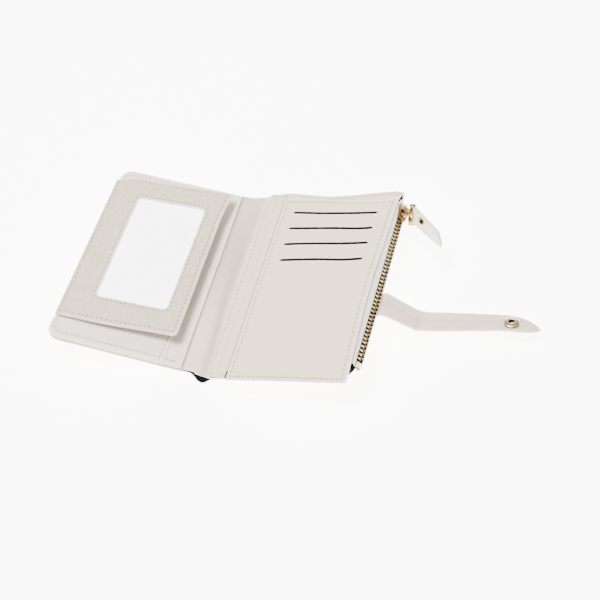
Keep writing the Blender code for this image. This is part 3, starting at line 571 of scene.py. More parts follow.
class Thread:
    """Collects stitches and needle holes, then makes one mesh of each."""

    def __init__(self, name):
        self.name, self.v, self.f, self.hv, self.hf = name, [], [], [], []

    def stitch(self, a, b, up, r=0.27, bend=0.22):
        a, b, up = Vector(a), Vector(b), Vector(up)
        t = (b - a).normalized()
        side = t.cross(up).normalized()
        L = (b - a).length
        base = len(self.v)
        rings, sides = 7, 6
        for i in range(rings):
            u = i / (rings - 1)
            rr = r * (0.25 + 0.75 * math.sin(math.pi * min(1, max(0, u))) ** 0.45)
            c = a + t * (L * u) + up * (bend * math.sin(math.pi * u) - 0.16)
            for j in range(sides):
                ang = 2 * math.pi * j / sides
                self.v.append(tuple(c + side * (rr * math.cos(ang)) + up * (rr * 0.8 * math.sin(ang))))
        for i in range(rings - 1):
            for j in range(sides):
                p = base + i * sides + j
                q = base + i * sides + (j + 1) % sides
                self.f.append([p, q, q + sides, p + sides])
        self.f.append([base + j for j in range(sides)][::-1])
        self.f.append([base + (rings - 1) * sides + j for j in range(sides)])

    def hole(self, c, t, up, r=0.42):
        c, t, up = Vector(c), Vector(t).normalized(), Vector(up)
        side = t.cross(up).normalized()
        base = len(self.hv)
        k = 8
        for ring, (rr, h) in enumerate(((r, -0.12), (r, 0.05), (r * 0.6, 0.075))):
            for j in range(k):
                ang = 2 * math.pi * j / k
                self.hv.append(tuple(c + t * (rr * 1.15 * math.cos(ang)) + side * (rr * math.sin(ang)) + up * h))
        for ring in range(2):
            for j in range(k):
                p, q = base + ring * k + j, base + ring * k + (j + 1) % k
                self.hf.append([p, q, q + k, p + k])
        self.hf.append([base + j for j in range(k)][::-1])
        self.hf.append([base + 2 * k + j for j in range(k)])

    def row(self, pts, at, pitch=3.0, length=2.2, closed=False, r=0.27, where=None, holes=True):
        """Stitches along plan points, laid on the surface at(x, y)."""
        pts = [np.array(p, float) for p in pts]
        if closed:
            pts = pts + [pts[0]]
        seg = [float(np.linalg.norm(pts[i + 1] - pts[i])) for i in range(len(pts) - 1)]
        total = sum(seg)
        n = max(1, int(round(total / pitch)))
        p_ = total / n
        cum = np.concatenate([[0], np.cumsum(seg)])
        P = np.array(pts)

        def point(s):
            return np.array([np.interp(s, cum, P[:, 0]), np.interp(s, cum, P[:, 1])])
        for i in range(n):
            s0 = p_ * i + (p_ - length) / 2
            a, b = point(s0), point(s0 + length)
            m = (a + b) / 2
            if where is not None and not where(m[0], m[1]):
                continue
            jx = RNG.uniform(-0.05, 0.05)
            A, B = at(a[0] + jx, a[1]), at(b[0] - jx, b[1])
            e = 0.3
            ux = at(m[0] + e, m[1]) - at(m[0] - e, m[1])
            uy = at(m[0], m[1] + e) - at(m[0], m[1] - e)
            up = np.cross(ux, uy)
            up = up / (np.linalg.norm(up) + 1e-9)
            self.stitch(A, B, up, r)
            if holes:
                h = point(p_ * i)
                self.hole(at(h[0], h[1]), B - A, up)

    def make(self, thread=None):
        out = []
        if self.v:
            out.append(build(self.name + "_stitches", self.v, self.f, thread or M_THREAD))
        if self.hv:
            out.append(build(self.name + "_needle_holes", self.hv, self.hf, M_NEEDLE_HOLE_SHADE))
        return out


def runs(points, where):
    """The parts of a closed loop of points where where(x, y) holds."""
    flags = [bool(where(p[0], p[1])) for p in points]
    if all(flags):
        return [points + [points[0]]]
    start = next(i for i in range(len(points)) if flags[i] and not flags[i - 1])
    out, cur = [], []
    for k in range(len(points)):
        i = (start + k) % len(points)
        if flags[i]:
            cur.append(points[i])
        elif cur:
            out.append(cur)
            cur = []
    if cur:
        out.append(cur)
    return [c for c in out if len(c) > 2]


def lathe(name, m, profile, mat, steps=48, closed=True, sharp=40):
    """A turned piece about the local z axis of matrix m; the profile is (radius, height)."""
    put = in_frame(m)
    V = []
    for i in range(steps):
        a = 2 * math.pi * i / steps
        for r, z in profile:
            V.append((r * math.cos(a), r * math.sin(a), z))
    V = np.array(V)
    n = len(profile)
    F = []
    for i in range(steps):
        k = (i + 1) % steps
        for j in range(n if closed else n - 1):
            F.append([i * n + j, k * n + j, k * n + (j + 1) % n, i * n + (j + 1) % n])
    ob = build(name, put(V[:, 0], V[:, 1], V[:, 2]), F, mat, None, True, sharp)
    weld(ob)
    ob.data.set_sharp_from_angle(angle=math.radians(sharp))
    return ob


def tube(name, pts, radius, mat, sides=14, closed=False, flat=1.0, up=(0, 0, 1)):
    """A round bar through world points in millimetres."""
    P = [Vector(p) for p in pts]
    n = len(P)
    V, F = [], []
    ref = Vector(up)
    for i in range(n):
        a = P[i - 1] if (closed or i > 0) else P[i]
        b = P[(i + 1) % n] if (closed or i < n - 1) else P[i]
        t = (b - a).normalized()
        s = t.cross(ref)
        if s.length < 1e-3:
            s = t.cross(Vector((1, 0, 0)))
        s.normalize()
        u = s.cross(t).normalized()
        rr = radius[i] if isinstance(radius, (list, tuple)) else radius
        for j in range(sides):
            ang = 2 * math.pi * j / sides
            V.append(tuple(P[i] + s * rr * math.cos(ang) + u * rr * flat * math.sin(ang)))
    for i in range(n if closed else n - 1):
        k = (i + 1) % n
        for j in range(sides):
            F.append([i * sides + j, i * sides + (j + 1) % sides, k * sides + (j + 1) % sides, k * sides + j])
    if not closed:
        F.append([j for j in range(sides)][::-1])
        F.append([(n - 1) * sides + j for j in range(sides)])
    return build(name, V, F, mat)


def bevel(ob, width, segments=2, angle=30):
    b = ob.modifiers.new("edges", 'BEVEL')
    b.width = width * MM
    b.segments = segments
    b.limit_method = 'ANGLE'
    b.angle_limit = math.radians(angle)
    b.harden_normals = False
    return ob


def always(x, y):
    return 1.0 + 0 * x


def right_fold(ob):
    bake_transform(ob)


def left_fold(ob):
    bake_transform(ob)


# ================================================================== outer cover, in two pieces that meet at mid-spine
def right_put(x, y, n):
    return wall(x + SPINE / 2, y, n)


def left_put(x, y, n):
    return wall(x - SPINE / 2, y, n)


def cover_warp(x, y):
    back = smooth((y - 40) / 26)
    far = smooth((x - 52) / 36)
    corner = smooth((y - 48) / 17) * smooth((x - 74) / 13)
    front = smooth((-y - 30) / 34) * np.interp(x, (0, 26, 57, 84, 90), (0.0, 0.8, 2.3, 3.9, 4.1))
    tuck = smooth((-y - 50) / 7) * smooth((x - 70) / 16)
    return x + 0.6 * back * far + 2.6 * corner - 3.6 * tuck, y + front + (2.4 + 0.9 * smooth((x - 40) / 40)) * back * far - 1.2 * corner * smooth((x - 82) / 6)


rect_cr = Rect(-9.0, 88.0, -65.0, 66.0, (0, 3.5, 2.0, 0))
row_edge = (2.6, always)
cover_r, at_cover_r = sheet("cover_zip_half", rect_cr, cover_n, COVER_T / 2, right_put, M_LEATHER, step=3.2, warp=cover_warp, open_sides="x0",
                            xs=(64, 70, 76, 82), ys=(-62.4, 63.4), under=cover_n)
right_fold(cover_r)
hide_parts("cover_right", "spine_cover")

rect_cl = Rect(-LEFT_W, 9.0, -65.0, 65.0, (8.5, 0, 0, 8.0))


def left_mid(n):
    def f(x, y):
        return n + 0 * x + ripple(x, y, 0.10) * smooth(-x / 20)
    return f




def bulge_warp(x, y):
    return x - 2.0 * gauss((y + 60) / 13) * smooth((-x - 57) / 24), y


cover_l, at_cover_l = sheet("cover_window_half", rect_cl, left_mid(0.0), COVER_T / 2, left_put, M_LEATHER, step=3.2, warp=bulge_warp, open_sides="x1", ys=(-62.4, 62.4))
left_fold(cover_l)
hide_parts("cover_left")

# outside stitching of the cover, seen from below
# ================================================================== black lining of the bill compartment


def lining_r_n(x, y):
    mouth = gauss((x + 9 - 5.0) / 6.4) * smooth((-y - 59) / 5)
    return cover_n(x, y) + COVER_T / 2 + 0.22 + 0.28 * smooth((x - 1) / 6) - 0.8 * mouth


def lining_warp(x, y):
    px, py = cover_warp(x, y)
    return px, py - 5.8 * gauss((x + 9 - 5.0) / 6.2) * smooth((-y - 50) / 14)


lin_r, _ = sheet("bill_lining_zip_half", Rect(-9.0, 86.0, -64.2, 64.6, (0, 2, 2, 0)), lining_r_n, 0.17, right_put, M_BLACK_CLOTH_AND_SHADE, step=2.4, warp=lining_warp, open_sides="x0", xs=(64, 70, 76, 82))
right_fold(lin_r)
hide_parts("bill_lining_right")


def lining_l_n(x, y):
    mouth = gauss((x - 9 - 5.0) / 6.4) * smooth((-y - 59) / 5)
    return left_mid(1.02)(x, y) + 0.13 * smooth(-x / 6) - 0.8 * mouth


def lining_warp_l(x, y):
    return x, y - 5.8 * gauss((x - 9 - 5.0) / 6.2) * smooth((-y - 50) / 14)


lin_l, _ = sheet("bill_lining_window_half", Rect(-82.6, 9.0, -64.2, 63.6, (6, 0, 0, 6)), lining_l_n, 0.17, left_put, M_BLACK_CLOTH_AND_SHADE, step=2.4, warp=lining_warp_l, open_sides="x1")
left_fold(lin_l)
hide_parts("bill_lining_left")


# ================================================================== inner wall of the bill compartment: one leather from half to half
def valley(s):
    """Height of the inner wall over the spine, s from mid-spine."""
    return 2.15 - 0.62 * gauss((s + 1.5) / 6.0) + 0.25 * gauss((s - 9.0) / 3.0)


def wall_n(s, y):
    return valley(s) + ripple(s, y, 0.05) + 0.25 * gauss((s + 1) / 7.0) * smooth((-y - 56) / 9)


def wall_r_n(x, y):
    return wall_n(x + 9, y)


def wall_l_n(x, y):
    return wall_n(x - 9, y)


FRONT_S = (-92, -60, -14, -5, 0, 5, 10, 15, 22, 37, 67, 94)
FRONT_D = (0.0, 0.2, 0.1, -0.2, 0.5, 1.5, 2.3, 2.2, 1.3, 0.2, -1.1, -2.5)
BACK_S = (-92, -4, 3, 8, 12, 17, 23, 30, 41, 52, 69, 81, 90, 97)
BACK_D = (0.0, 0.0, 0.1, 0.9, 2.1, 3.3, 3.8, 3.1, 1.6, 0.3, 1.3, 2.5, 3.4, 3.9)


def wall_warp(s_off):
    def f(x, y):
        s = x + s_off
        front = smooth((-y - 30) / 36)
        back = smooth((y - 30) / 36)
        corner = smooth((y - 52) / 13) * smooth((s - 84) / 12)
        bulge = gauss((y + 60) / 13) * smooth((-s - 66) / 24)
        dy = -front * np.interp(s, FRONT_S, FRONT_D) + back * np.interp(s, BACK_S, BACK_D) - 1.3 * corner * smooth((s - 92) / 5)
        tuck = smooth((-y - 51) / 6) * smooth((s - 80) / 15)
        return x + 0.5 * back * smooth((s - 60) / 36) + 3.4 * corner - 2.0 * bulge - 2.4 * tuck, y + dy
    return f


SHADE_Y = (-64.0, -37.0, -9.0, 22.0, 60.0)


def wall_shade(s, y):
    """Painted shade: the leather is made greyer where it dips between the layers, with a soft painted crease shadow
    that runs slantwise to the front, and a painted shadow line beside the second layer's edge.
    """
    flat = np.interp(y, SHADE_Y, (0.12, 0.12, 0.42, 0.66, 0.42)) * smooth((7.6 - s) / 3.0) * smooth((s + 12) / 2.0)
    dip = np.interp(y, SHADE_Y, (0.50, 0.66, 0.34, 0.06, 0.0)) * gauss((s - np.interp(y, SHADE_Y, (6.0, 4.5, 2.0, 1.0, 0.0))) / 2.8)
    return flat + dip + 0.30 * gauss((s + 9.6) / 1.7)


def layer_b_shift(y):
    """How far the window half's second layer stops short of the spine."""
    return 1.45 + 0.45 * y / 60.0


rect_wr = Rect(-9.0, 87.6, -65.2, 65.0, (0, 3.0, 0.9, 0))
# painted shade: greyer bands along the fold and a grey band along the back edge
wall_r, at_wall_r = sheet("inner_wall_zip_half", rect_wr, wall_r_n, 0.4, right_put, M_LEATHER, step=2.0, warp=wall_warp(9), open_sides="x0", ys=(-62.6, 62.4), bead=0.08, xs=(-7.0,), dark=lambda x, y: wall_shade(x + 9, y) + 0.30 * smooth((y - 61.0) / 1.5) * smooth((x - 20) / 30), rows=[(2.4, lambda x, y: smooth((x + 1) / 2) * smooth((abs(y) - 55) / 5))])
right_fold(wall_r)
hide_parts("coin_pocket_back", "spine_inner_wall")
rect_wl = Rect(-LEFT_W + 0.7, 9.0, -64.4, 64.4, (8.0, 0, 0, 7.6))
# painted shade along the fold and a dark painted shadow line beside the second layer's edge
wall_l, at_wall_l = sheet("inner_wall_window_half", rect_wl, wall_l_n, 0.4, left_put, M_LEATHER, step=2.0, warp=wall_warp(-9), open_sides="x1", ys=(-62.6, 62.4), bead=0.06, xs=(-1.5, -0.9, -0.3, 0.3, 1.1, 1.9), dark=lambda x, y: np.maximum(wall_shade(x - 9, y), 1.0 * gauss((x - 1.1 + layer_b_shift(y)) / 0.75)))
left_fold(wall_l)
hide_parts("bill_wall_left")

# ---- layer whose soft rolled edge is the ridge beside the spine
rect_c = Rect(-0.8, 24.0, -64.6, 64.2, (1.2, 0, 0, 1.2))


def ridge_n(x, y):
    return 2.95 + 1.35 * gauss((x - 3.0) / 2.7) - 0.45 * gauss((x - 11.2) / 2.6) - 1.45 * gauss((x + 1.2) / 1.6) + ripple(x, y, 0.06)


def ridge_where(x, y):
    return smooth((3.4 - abs(x - 2.0)) / 1.0) * 1.0


# painted shade: a dark soft line in the crevice beside the card panel's edge and a faint grey band on the slope
ridge, at_ridge = sheet("coin_pocket_edge", rect_c, ridge_n, 0.45, right_put, M_LEATHER, step=2.0, warp=wall_warp(9), xs=(2.0, 10.2, 11.0, 11.7, 12.4), bead=0.15, wear_and_painted_highlight=0.3, dark=lambda x, y: 0.85 * gauss((x - 12.1) / 1.0) + 0.16 * gauss((x - 6.5) / 2.2),
                        top_extra=lambda x, y: -0.22 * gauss((x - 2.0) / 0.5))
right_fold(ridge)


# ================================================================== card panel with its four slots
SLOTS = [(50.0, 22.7, 78.8), (38.2, 22.8, 78.4), (26.7, 23.0, 78.1), (15.0, 23.5, 77.4)]
SLOT_HALF = 0.85
SLOT_LINE = [((22.7, 51.0), (44.9, 49.6), (62.0, 49.3), (78.8, 49.6)), ((22.8, 38.5), (53.0, 38.2), (71.3, 37.5), (78.4, 38.4)),
             ((23.0, 26.4), (45.9, 26.8), (64.1, 26.5), (78.1, 27.2)), ((23.5, 14.4), (49.1, 15.1), (67.0, 14.8), (77.4, 15.8))]


def panel_mid(x, y):
    lift = 0.7 * smooth((y - 48) / 12) * smooth((x - 78) / 10)
    return 4.4 + 1.4 * (x - PANEL_X0) / (RIGHT_W - PANEL_X0) + ripple(x, y, 0.12) + 0.30 * gauss((y + 20) / 45) * gauss((x - 50) / 30) + lift


EDGE_Y = (-66.0, -51.0, -37.0, -14.0, 5.0, 27.5, 49.0, 55.6, 60.3)
EDGE_DX = (-1.0, -1.0, -1.2, -1.6, -1.2, 0.4, 1.6, 2.1, 2.9)


def panel_warp(x, y):
    top = np.interp(x, (13.4, 60, 78, 83, 86, 88.3), (2.5, -0.9, -1.7, -1.2, 0.0, 1.5)) * smooth((y - 53) / 7)
    low = np.interp(x, (13.4, 30, 60, 88.3), (-2.6, -1.7, -0.4, 1.0)) * smooth((-y - 30) / 36)
    dx = sum(np.interp(y + o, EDGE_Y, EDGE_DX) for o in (-4.0, 0.0, 4.0)) / 3
    return x + dx * smooth((x - 79.4) / 6), y + top + low


def slot_wave(x, k):
    """How far slot k lies off its straight line, softly bent through its measured points."""
    px = [p[0] for p in SLOT_LINE[k]]
    py = [p[1] - SLOTS[k][0] for p in SLOT_LINE[k]]
    w = sum(np.interp(x + o, px, py) for o in (-5.0, -2.5, 0.0, 2.5, 5.0)) / 5
    return w * smooth((x - 17) / 4) * smooth((84 - x) / 4)


rect_p = Rect(PANEL_X0, RIGHT_W, -66.0, 60.3, (1.0, 1.2, 0.7, 1.0))
P_HALF = 0.5
P_ROW = 2.3
rect_ps = Rect(PANEL_X0, RIGHT_W - 1.1, -66.0, 60.3, (1.0, 1.2, 0.7, 1.0))


def slotted_panel():
    gx = list(grid_lines(rect_p.x0, rect_p.x1, 2.4, 2.4, P_HALF, 2.4, (PANEL_X0 + P_ROW, RIGHT_W - 1.1 - P_ROW)))
    gy = list(grid_lines(rect_p.y0, rect_p.y1, 2.4, 2.4, P_HALF, 2.6, (-66.0 + P_ROW, 60.3 - P_ROW)))
    for y, a, b in SLOTS:
        gy = [g for g in gy if abs(g - y) > 2.3]
        gy += [y + s * (SLOT_HALF + k) for s in (-1, 1) for k in (0, 0.06, 0.2, 0.45, 1.0, 1.8)]
    ends = sorted(set([s[1] for s in SLOTS] + [s[2] for s in SLOTS]))
    gx = [g for g in gx if min(abs(g - e) for e in ends) > 0.3]
    for e in ends:
        gx += [e]
    gx, gy = np.array(sorted(gx)), np.array(sorted(gy))
    X0, Y0 = np.meshgrid(gx, gy, indexing='ij')
    X, Y = rect_p.place(X0, Y0)
    d = rect_p.inside(X, Y)
    e = np.sqrt(np.clip(1 - (1 - np.clip(d / P_HALF, 0, 1)) ** 2, 0, 1))
    right_bead = 0.30 * gauss((RIGHT_W - X - 0.9) / 0.6)
    h = P_HALF * e + (0.22 * gauss((d - 0.9) / 0.5) + right_bead) * e
    rowd = gauss((rect_ps.inside(X, Y) - P_ROW) / 0.42)
    h -= 0.24 * rowd
    # paler edges: partly real wear, partly painted highlight on the rounded right edge and the slot lips; painted shade
    # in the stitch groove and in a thin line inside the right edge
    wear_and_painted_highlight = gauss(d / 0.8) * 1.0 + 0.8 * gauss((RIGHT_W - X - 0.7) / 0.7)
    seam_and_painted_shade = rowd * 0.42 + 0.35 * gauss((RIGHT_W - X - 1.75) / 0.35)
    lip = np.zeros_like(h)
    yoff = np.zeros_like(h)
    for k, (y, a, b) in enumerate(SLOTS):
        dy = np.abs(Y0 - y) - SLOT_HALF
        inx = smooth((X0 - a + 0.6) / 0.8) * smooth((b + 0.6 - X0) / 0.8)
        near = np.clip(dy, 0, None)
        lip -= 0.34 * inx * np.where(near < 0.45, 1 - np.sqrt(np.clip(1 - (1 - near / 0.45) ** 2, 0, 1)), 0)
        lip += 0.10 * inx * gauss((near - 0.9) / 0.6)
        wear_and_painted_highlight = np.maximum(wear_and_painted_highlight, 0.55 * inx * gauss((near - 0.3) / 0.5))
        g = smooth((3.6 - np.abs(Y0 - y)) / 3.0)
        yoff += slot_wave(X0, k) * g
        # the slit narrows to nothing at its ends
        shut = 1 - smooth((X0 - a + 0.6) / 1.8) * smooth((b + 0.6 - X0) / 1.8)
        side = np.sign(Y0 - y)
        yoff -= side * 0.5 * SLOT_HALF * shut * smooth((1.2 - near) / 1.2) * (near < 1.2) * ((X0 >= a - 0.01) & (X0 <= b + 0.01))
    PX, PY = panel_warp(X, Y)
    PY = PY + yoff
    M = panel_mid(X, Y)
    top = right_put(PX, PY, M + h + lip)
    low = right_put(PX, PY, M - P_HALF * e)
    nx, ny = X.shape
    N = nx * ny
    idx = np.arange(N).reshape(nx, ny)
    hole = np.zeros((nx - 1, ny - 1), bool)
    xc = (gx[:-1] + gx[1:]) / 2
    yc = (gy[:-1] + gy[1:]) / 2
    for y, a, b in SLOTS:
        hole |= ((xc > a) & (xc < b))[:, None] & (np.abs(yc - y) < SLOT_HALF)[None, :]
    F = []
    for i in range(nx - 1):
        for j in range(ny - 1):
            if hole[i, j]:
                continue
            a, b, c, q = int(idx[i, j]), int(idx[i + 1, j]), int(idx[i + 1, j + 1]), int(idx[i, j + 1])
            F.append([a, b, c, q])
            F.append([a + N, q + N, c + N, b + N])
            for (di, dj, p, s) in ((0, -1, a, b), (1, 0, b, c), (0, 1, c, q), (-1, 0, q, a)):
                ii, jj = i + di, j + dj
                if ii < 0 or jj < 0 or ii >= nx - 1 or jj >= ny - 1 or hole[ii, jj]:
                    F.append([p, p + N, s + N, s])
    V = np.concatenate([top.reshape(-1, 3), low.reshape(-1, 3)])
    w, sm = wear_and_painted_highlight.reshape(-1), seam_and_painted_shade.reshape(-1)
    ob = build("card_panel_leather", V, F, M_LEATHER, {"wear_and_painted_highlight": np.concatenate([w, w]), "seam_and_painted_shade": np.concatenate([sm, sm * 0])})
    weld(ob)
    return ob


panel = slotted_panel()
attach(panel, "right_half")
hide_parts("card_panel")


def at_panel(x, y, lift=0.0):
    x, y = np.asarray(x, float), np.asarray(y, float)
    px, py = panel_warp(x, y)
    return right_put(px, py, panel_mid(x, y) + P_HALF - 0.20 + lift)


# dark cloth sleeves behind the slots
for k, (y, a, b) in enumerate(SLOTS):
    y_low = SLOTS[k + 1][0] + 1.4 if k < 3 else -38.0
    ob, _ = sheet("card_pocket_cloth_%d" % (k + 1), Rect(20.5, 80.2, y_low, y + 1.6, (1, 1, 1, 1)), lambda x, y_: panel_mid(x, y_) - 0.82, 0.14, right_put, M_SLOT_CLOTH_AND_SHADE, step=6.0)
    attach(ob, "right_half")
    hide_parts("card_sleeve_%d" % (k + 1))

    # a black strip fills each slit: painted shade standing in for the dark inside of the slot
    strip, _ = sheet("card_slot_painted_shade_%d" % (k + 1), Rect(a - 0.4, b + 0.4, y - SLOT_HALF + 0.06, y + SLOT_HALF - 0.06, (0.5, 0.5, 0.5, 0.5)), lambda x, y_: panel_mid(x, y_) + 0.12, 0.12,
                     lambda x, y_, n, k=k: right_put(*(lambda q: (q[0], q[1] + slot_wave(x, k), n))(panel_warp(x, y_))), M_SLOT_CLOTH_AND_SHADE, step=3.0)
    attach(strip, "right_half")

# ================================================================== stitching of the zipped half
th = Thread("zip_half")
loop = rect_ps.loop(P_ROW)
th.row(loop, at_panel, closed=True)
for ob in th.make():
    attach(ob, "right_half")
th = Thread("coin_edge")
th.row([(2.0, -62.4), (2.0, 62.0)], at_ridge)
th.row([(3.2, -62.9), (12.0, -62.9)], at_ridge)
th.row([(3.2, 62.2), (12.0, 62.2)], at_ridge)
for ob in th.make():
    right_fold(ob)
th = Thread("cover_zip_half")


def cover_under_at(x, y):
    x, y = np.asarray(x, float), np.asarray(y, float)
    px, py = cover_warp(x, y)
    return right_put(px, py, cover_n(x, y) - COVER_T / 2)


def flip(at):
    """Seen from below: the plan mirrored so that the normals point down."""
    def f(x, y):
        return at(-np.asarray(x, float), y)
    return f


for run in runs(rect_cr.loop(2.6), lambda x, y: x > -8.5):
    th.row([(-p[0], p[1]) for p in run], flip(cover_under_at))
for ob in th.make():
    right_fold(ob)
th = Thread("cover_window_half")


def cover_l_under(x, y):
    x, y = np.asarray(x, float), np.asarray(y, float)
    px, py = bulge_warp(x, y)
    return left_put(px, py, left_mid(0.0)(x, y) - COVER_T / 2)


for run in runs(rect_cl.loop(2.6), lambda x, y: x < 8.5):
    th.row([(-p[0], p[1]) for p in run], flip(cover_l_under))
for ob in th.make():
    left_fold(ob)

# ================================================================== window half: pocket layers
rect_b = Rect(-LEFT_W + 1.1, 0.7, -63.9, 63.4, (7.8, 0.8, 0.8, 7.4))


def layer_b_n(x, y):
    return 3.0 + 0.12 * gauss((x + 1) / 4) + ripple(x, y, 0.07) * smooth(-x / 30)


def layer_b_warp(x, y):
    px, py = bulge_warp(x, y)
    return px - layer_b_shift(y) * smooth((x + 11.0) / 7.0), py


# paler rolled edge as painted highlight, and a dark painted shadow line beside the note pocket's edge
layer_b, at_b = sheet("pocket_layer_spine_edge", rect_b, layer_b_n, 0.36, left_put, M_LEATHER_GREYED_FOR_SHADOW, step=2.6, warp=layer_b_warp, bead=0.28, wear_and_painted_highlight=1.3, dark=lambda x, y: 0.70 * gauss((x + 11.2) / 0.6), rows=[(2.8, lambda x, y: smooth((-x - 14) / 3))], ys=(-61.1, 60.6), xs=(-LEFT_W + 3.9,))
left_fold(layer_b)

rect_n = Rect(-LEFT_W + 1.7, -11.8, -63.4, 58.2, (7.4, 0.9, 0.9, 7.0))


def note_n(x, y):
    return 3.74 + ripple(x, y, 0.08) + 0.25 * gauss((y + 60) / 6) * gauss((x + 48) / 30)


note, at_note = sheet("note_pocket_leather", rect_n, note_n, 0.34, left_put, M_LEATHER_GREYED_FOR_SHADOW, step=2.6, warp=bulge_warp, bead=0.12, rows=[(2.4, lambda x, y: smooth((-x - 16) / 3))], ys=(-61.0, 55.8), xs=(-LEFT_W + 4.1,))
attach(note, "left_half")
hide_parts("note_pocket")
th = Thread("window_half")
for run in runs(rect_n.loop(2.4), lambda x, y: x < -14.0):
    th.row(run, at_note)
for ob in th.make():
    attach(ob, "left_half")

th = Thread("window_half_layer")
th.row([(-10.4, -61.1), (-2.2, -61.1)], at_b)
th.row([(-10.4, 60.6), (-3.0, 60.6)], at_b)
for ob in th.make():
    left_fold(ob)

# ================================================================== window flap
flap_put = in_frame(FLAP)
rect_f = Rect(-0.2, 77.0, -51.1, 53.1, (2.0, 3.6, 1.0, 2.0))
WR = Rect(WIN[0], WIN[1], WIN[2], WIN[3], (2.4, 2.6, 2.6, 2.4))


def flap_sag(x, y):
    """The flap is slightly sprung: its free corners lift and its front edge waves."""
    u = x / 77.0
    return 0.12 * np.sin(y / 19.0 + 0.6) * u + 0.5 * u * u * smooth((-y - 20) / 30) + 0.15 * np.sin(x / 11.0) * smooth((-y - 40) / 10)


def flap_warp(x, y):
    """The far edge is cut in a slight curve and its free corner reaches out a little."""
    far = smooth((y - 36) / 17)
    near = smooth((-y - 38) / 13)
    return x + 1.7 * smooth((x - 66) / 11) * far, y + (3.6 * smooth((x - 1) / 14) + 0.9 * smooth((x - 30) / 44)) * far + 1.8 * smooth((x - 22) / 52) * near


def plan_loop(rect, s, n_side, n_corner):
    """Matching points round a rounded rectangle, s inside it."""
    pts = []
    x0, x1, y0, y1 = rect.x0 + s, rect.x1 - s, rect.y0 + s, rect.y1 - s
    cs = ((x0, y0, -1, -1, 180), (x1, y0, 1, -1, 270), (x1, y1, 1, 1, 0), (x0, y1, -1, 1, 90))
    corners = []
    for i, (cx, cy, sx, sy, a0) in enumerate(cs):
        r = max(0.02, rect.r[i] - s)
        corners.append([(cx - sx * r + r * math.cos(math.radians(a0 + 90 * j / n_corner)), cy - sy * r + r * math.sin(math.radians(a0 + 90 * j / n_corner))) for j in range(n_corner + 1)])
    for i in range(4):
        pts += corners[i]
        a, b = corners[i][-1], corners[(i + 1) % 4][0]
        k = n_side[i]
        pts += [(a[0] + (b[0] - a[0]) * j / k, a[1] + (b[1] - a[1]) * j / k) for j in range(1, k)]
    return np.array(pts)


def flap_frame():
    n_side, n_corner = (34, 44, 34, 44), 6
    F_HALF = 0.46
    outer_rows = [0, 0.05, 0.15, 0.3, 0.52, 0.9, 1.5, 2.0, 2.5, 2.9, 3.3, 3.8]
    inner_rows = [-3.4, -2.7, -2.2, -1.8, -1.4, -1.0, -0.7, -0.42, -0.2, -0.06, 0.0]
    loops = []
    A = [plan_loop(rect_f, s, n_side, n_corner) for s in outer_rows]
    B = [plan_loop(WR, s, n_side, n_corner) for s in inner_rows]
    mids = [A[-1] + (B[0] - A[-1]) * k / 6 for k in range(1, 6)]
    loops = A + mids + B
    L = len(loops)
    n = len(loops[0])
    P = np.array(loops)
    X, Y = P[..., 0], P[..., 1]
    d_out = rect_f.inside(X, Y)
    for i, s in enumerate(outer_rows):
        d_out[i, :] = s
    d_in = np.full_like(X, 50.0)
    for i, s in enumerate(inner_rows):
        d_in[len(A) + len(mids) + i, :] = -s
    for k in range(len(mids)):
        d_in[len(A) + k, :] = 3.4 + 2.0 * (len(mids) - k)
    d = np.minimum(d_out, d_in)
    e = np.sqrt(np.clip(1 - (1 - np.clip(d / F_HALF, 0, 1)) ** 2, 0, 1))
    h = F_HALF * e + 0.10 * gauss((d - 0.9) / 0.5) * e
    rows = gauss((d_out - 2.5) / 0.42) + 0.8 * gauss((d_in - 1.8) / 0.42)
    h -= 0.24 * rows
    top_mid = 1.75 - 0.80 * gauss(d_out / 2.4) - 0.10 * gauss(d_in / 3.0)
    sag = flap_sag(X, Y)
    PX, PY = flap_warp(X, Y)
    top = flap_put(PX, PY, top_mid + h + sag)
    low = flap_put(PX, PY, top_mid - F_HALF * e + sag)
    V = np.concatenate([top.reshape(-1, 3), low.reshape(-1, 3)])
    N = L * n
    F = []
    for i in range(L - 1):
        for j in range(n):
            k = (j + 1) % n
            a, b, c, q = i * n + j, i * n + k, (i + 1) * n + k, (i + 1) * n + j
            F.append([a, b, c, q])
            F.append([a + N, q + N, c + N, b + N])
    for i in (0, L - 1):
        for j in range(n):
            k = (j + 1) % n
            F.append([i * n + j, i * n + k, i * n + k + N, i * n + j + N])
    w = (gauss(d / 0.8)).reshape(-1)
    # painted shade in the stitch grooves and a grey painted shade band along the hinge side
    sm = np.maximum(rows * 0.42, 0.34 * smooth((3.1 - X) / 1.6)).reshape(-1)
    ob = build("flap_window_frame", V, F, M_FLAP, {"wear_and_painted_highlight": np.concatenate([w, w]), "seam_and_painted_shade": np.concatenate([sm, sm * 0])})
    weld(ob)
    return ob


flap = flap_frame()
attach(flap, "id_flap")
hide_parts("flap_front")


def at_flap(x, y, lift=0.0):
    x, y = np.asarray(x, float), np.asarray(y, float)
    d = rect_f.inside(x, y)
    px, py = flap_warp(x, y)
    return flap_put(px, py, 1.75 - 0.80 * gauss(d / 2.4) + 0.46 - 0.20 + flap_sag(x, y) + lift)


flap_back, at_fb = sheet("flap_back_leather", Rect(-0.2, 77.0, -51.1, 53.1, (2.0, 3.6, 1.5, 2.0)), lambda x, y: 0.05 + 0.35 * gauss(rect_f.inside(x, y) / 2.4) + flap_sag(x, y), 0.36, flap_put, M_LEATHER_GREYED_FOR_SHADOW, step=2.8, warp=flap_warp)
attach(flap_back, "id_flap")
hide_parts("flap_back")
th = Thread("flap")
th.row(rect_f.loop(2.5), at_flap, closed=True)
for run in runs(Rect(WIN[0] - 1.8, WIN[1] + 1.8, WIN[2] - 1.8, WIN[3] + 1.8, (4.2, 4.4, 4.4, 4.2)).loop(0), always):
    th.row(run, at_flap)


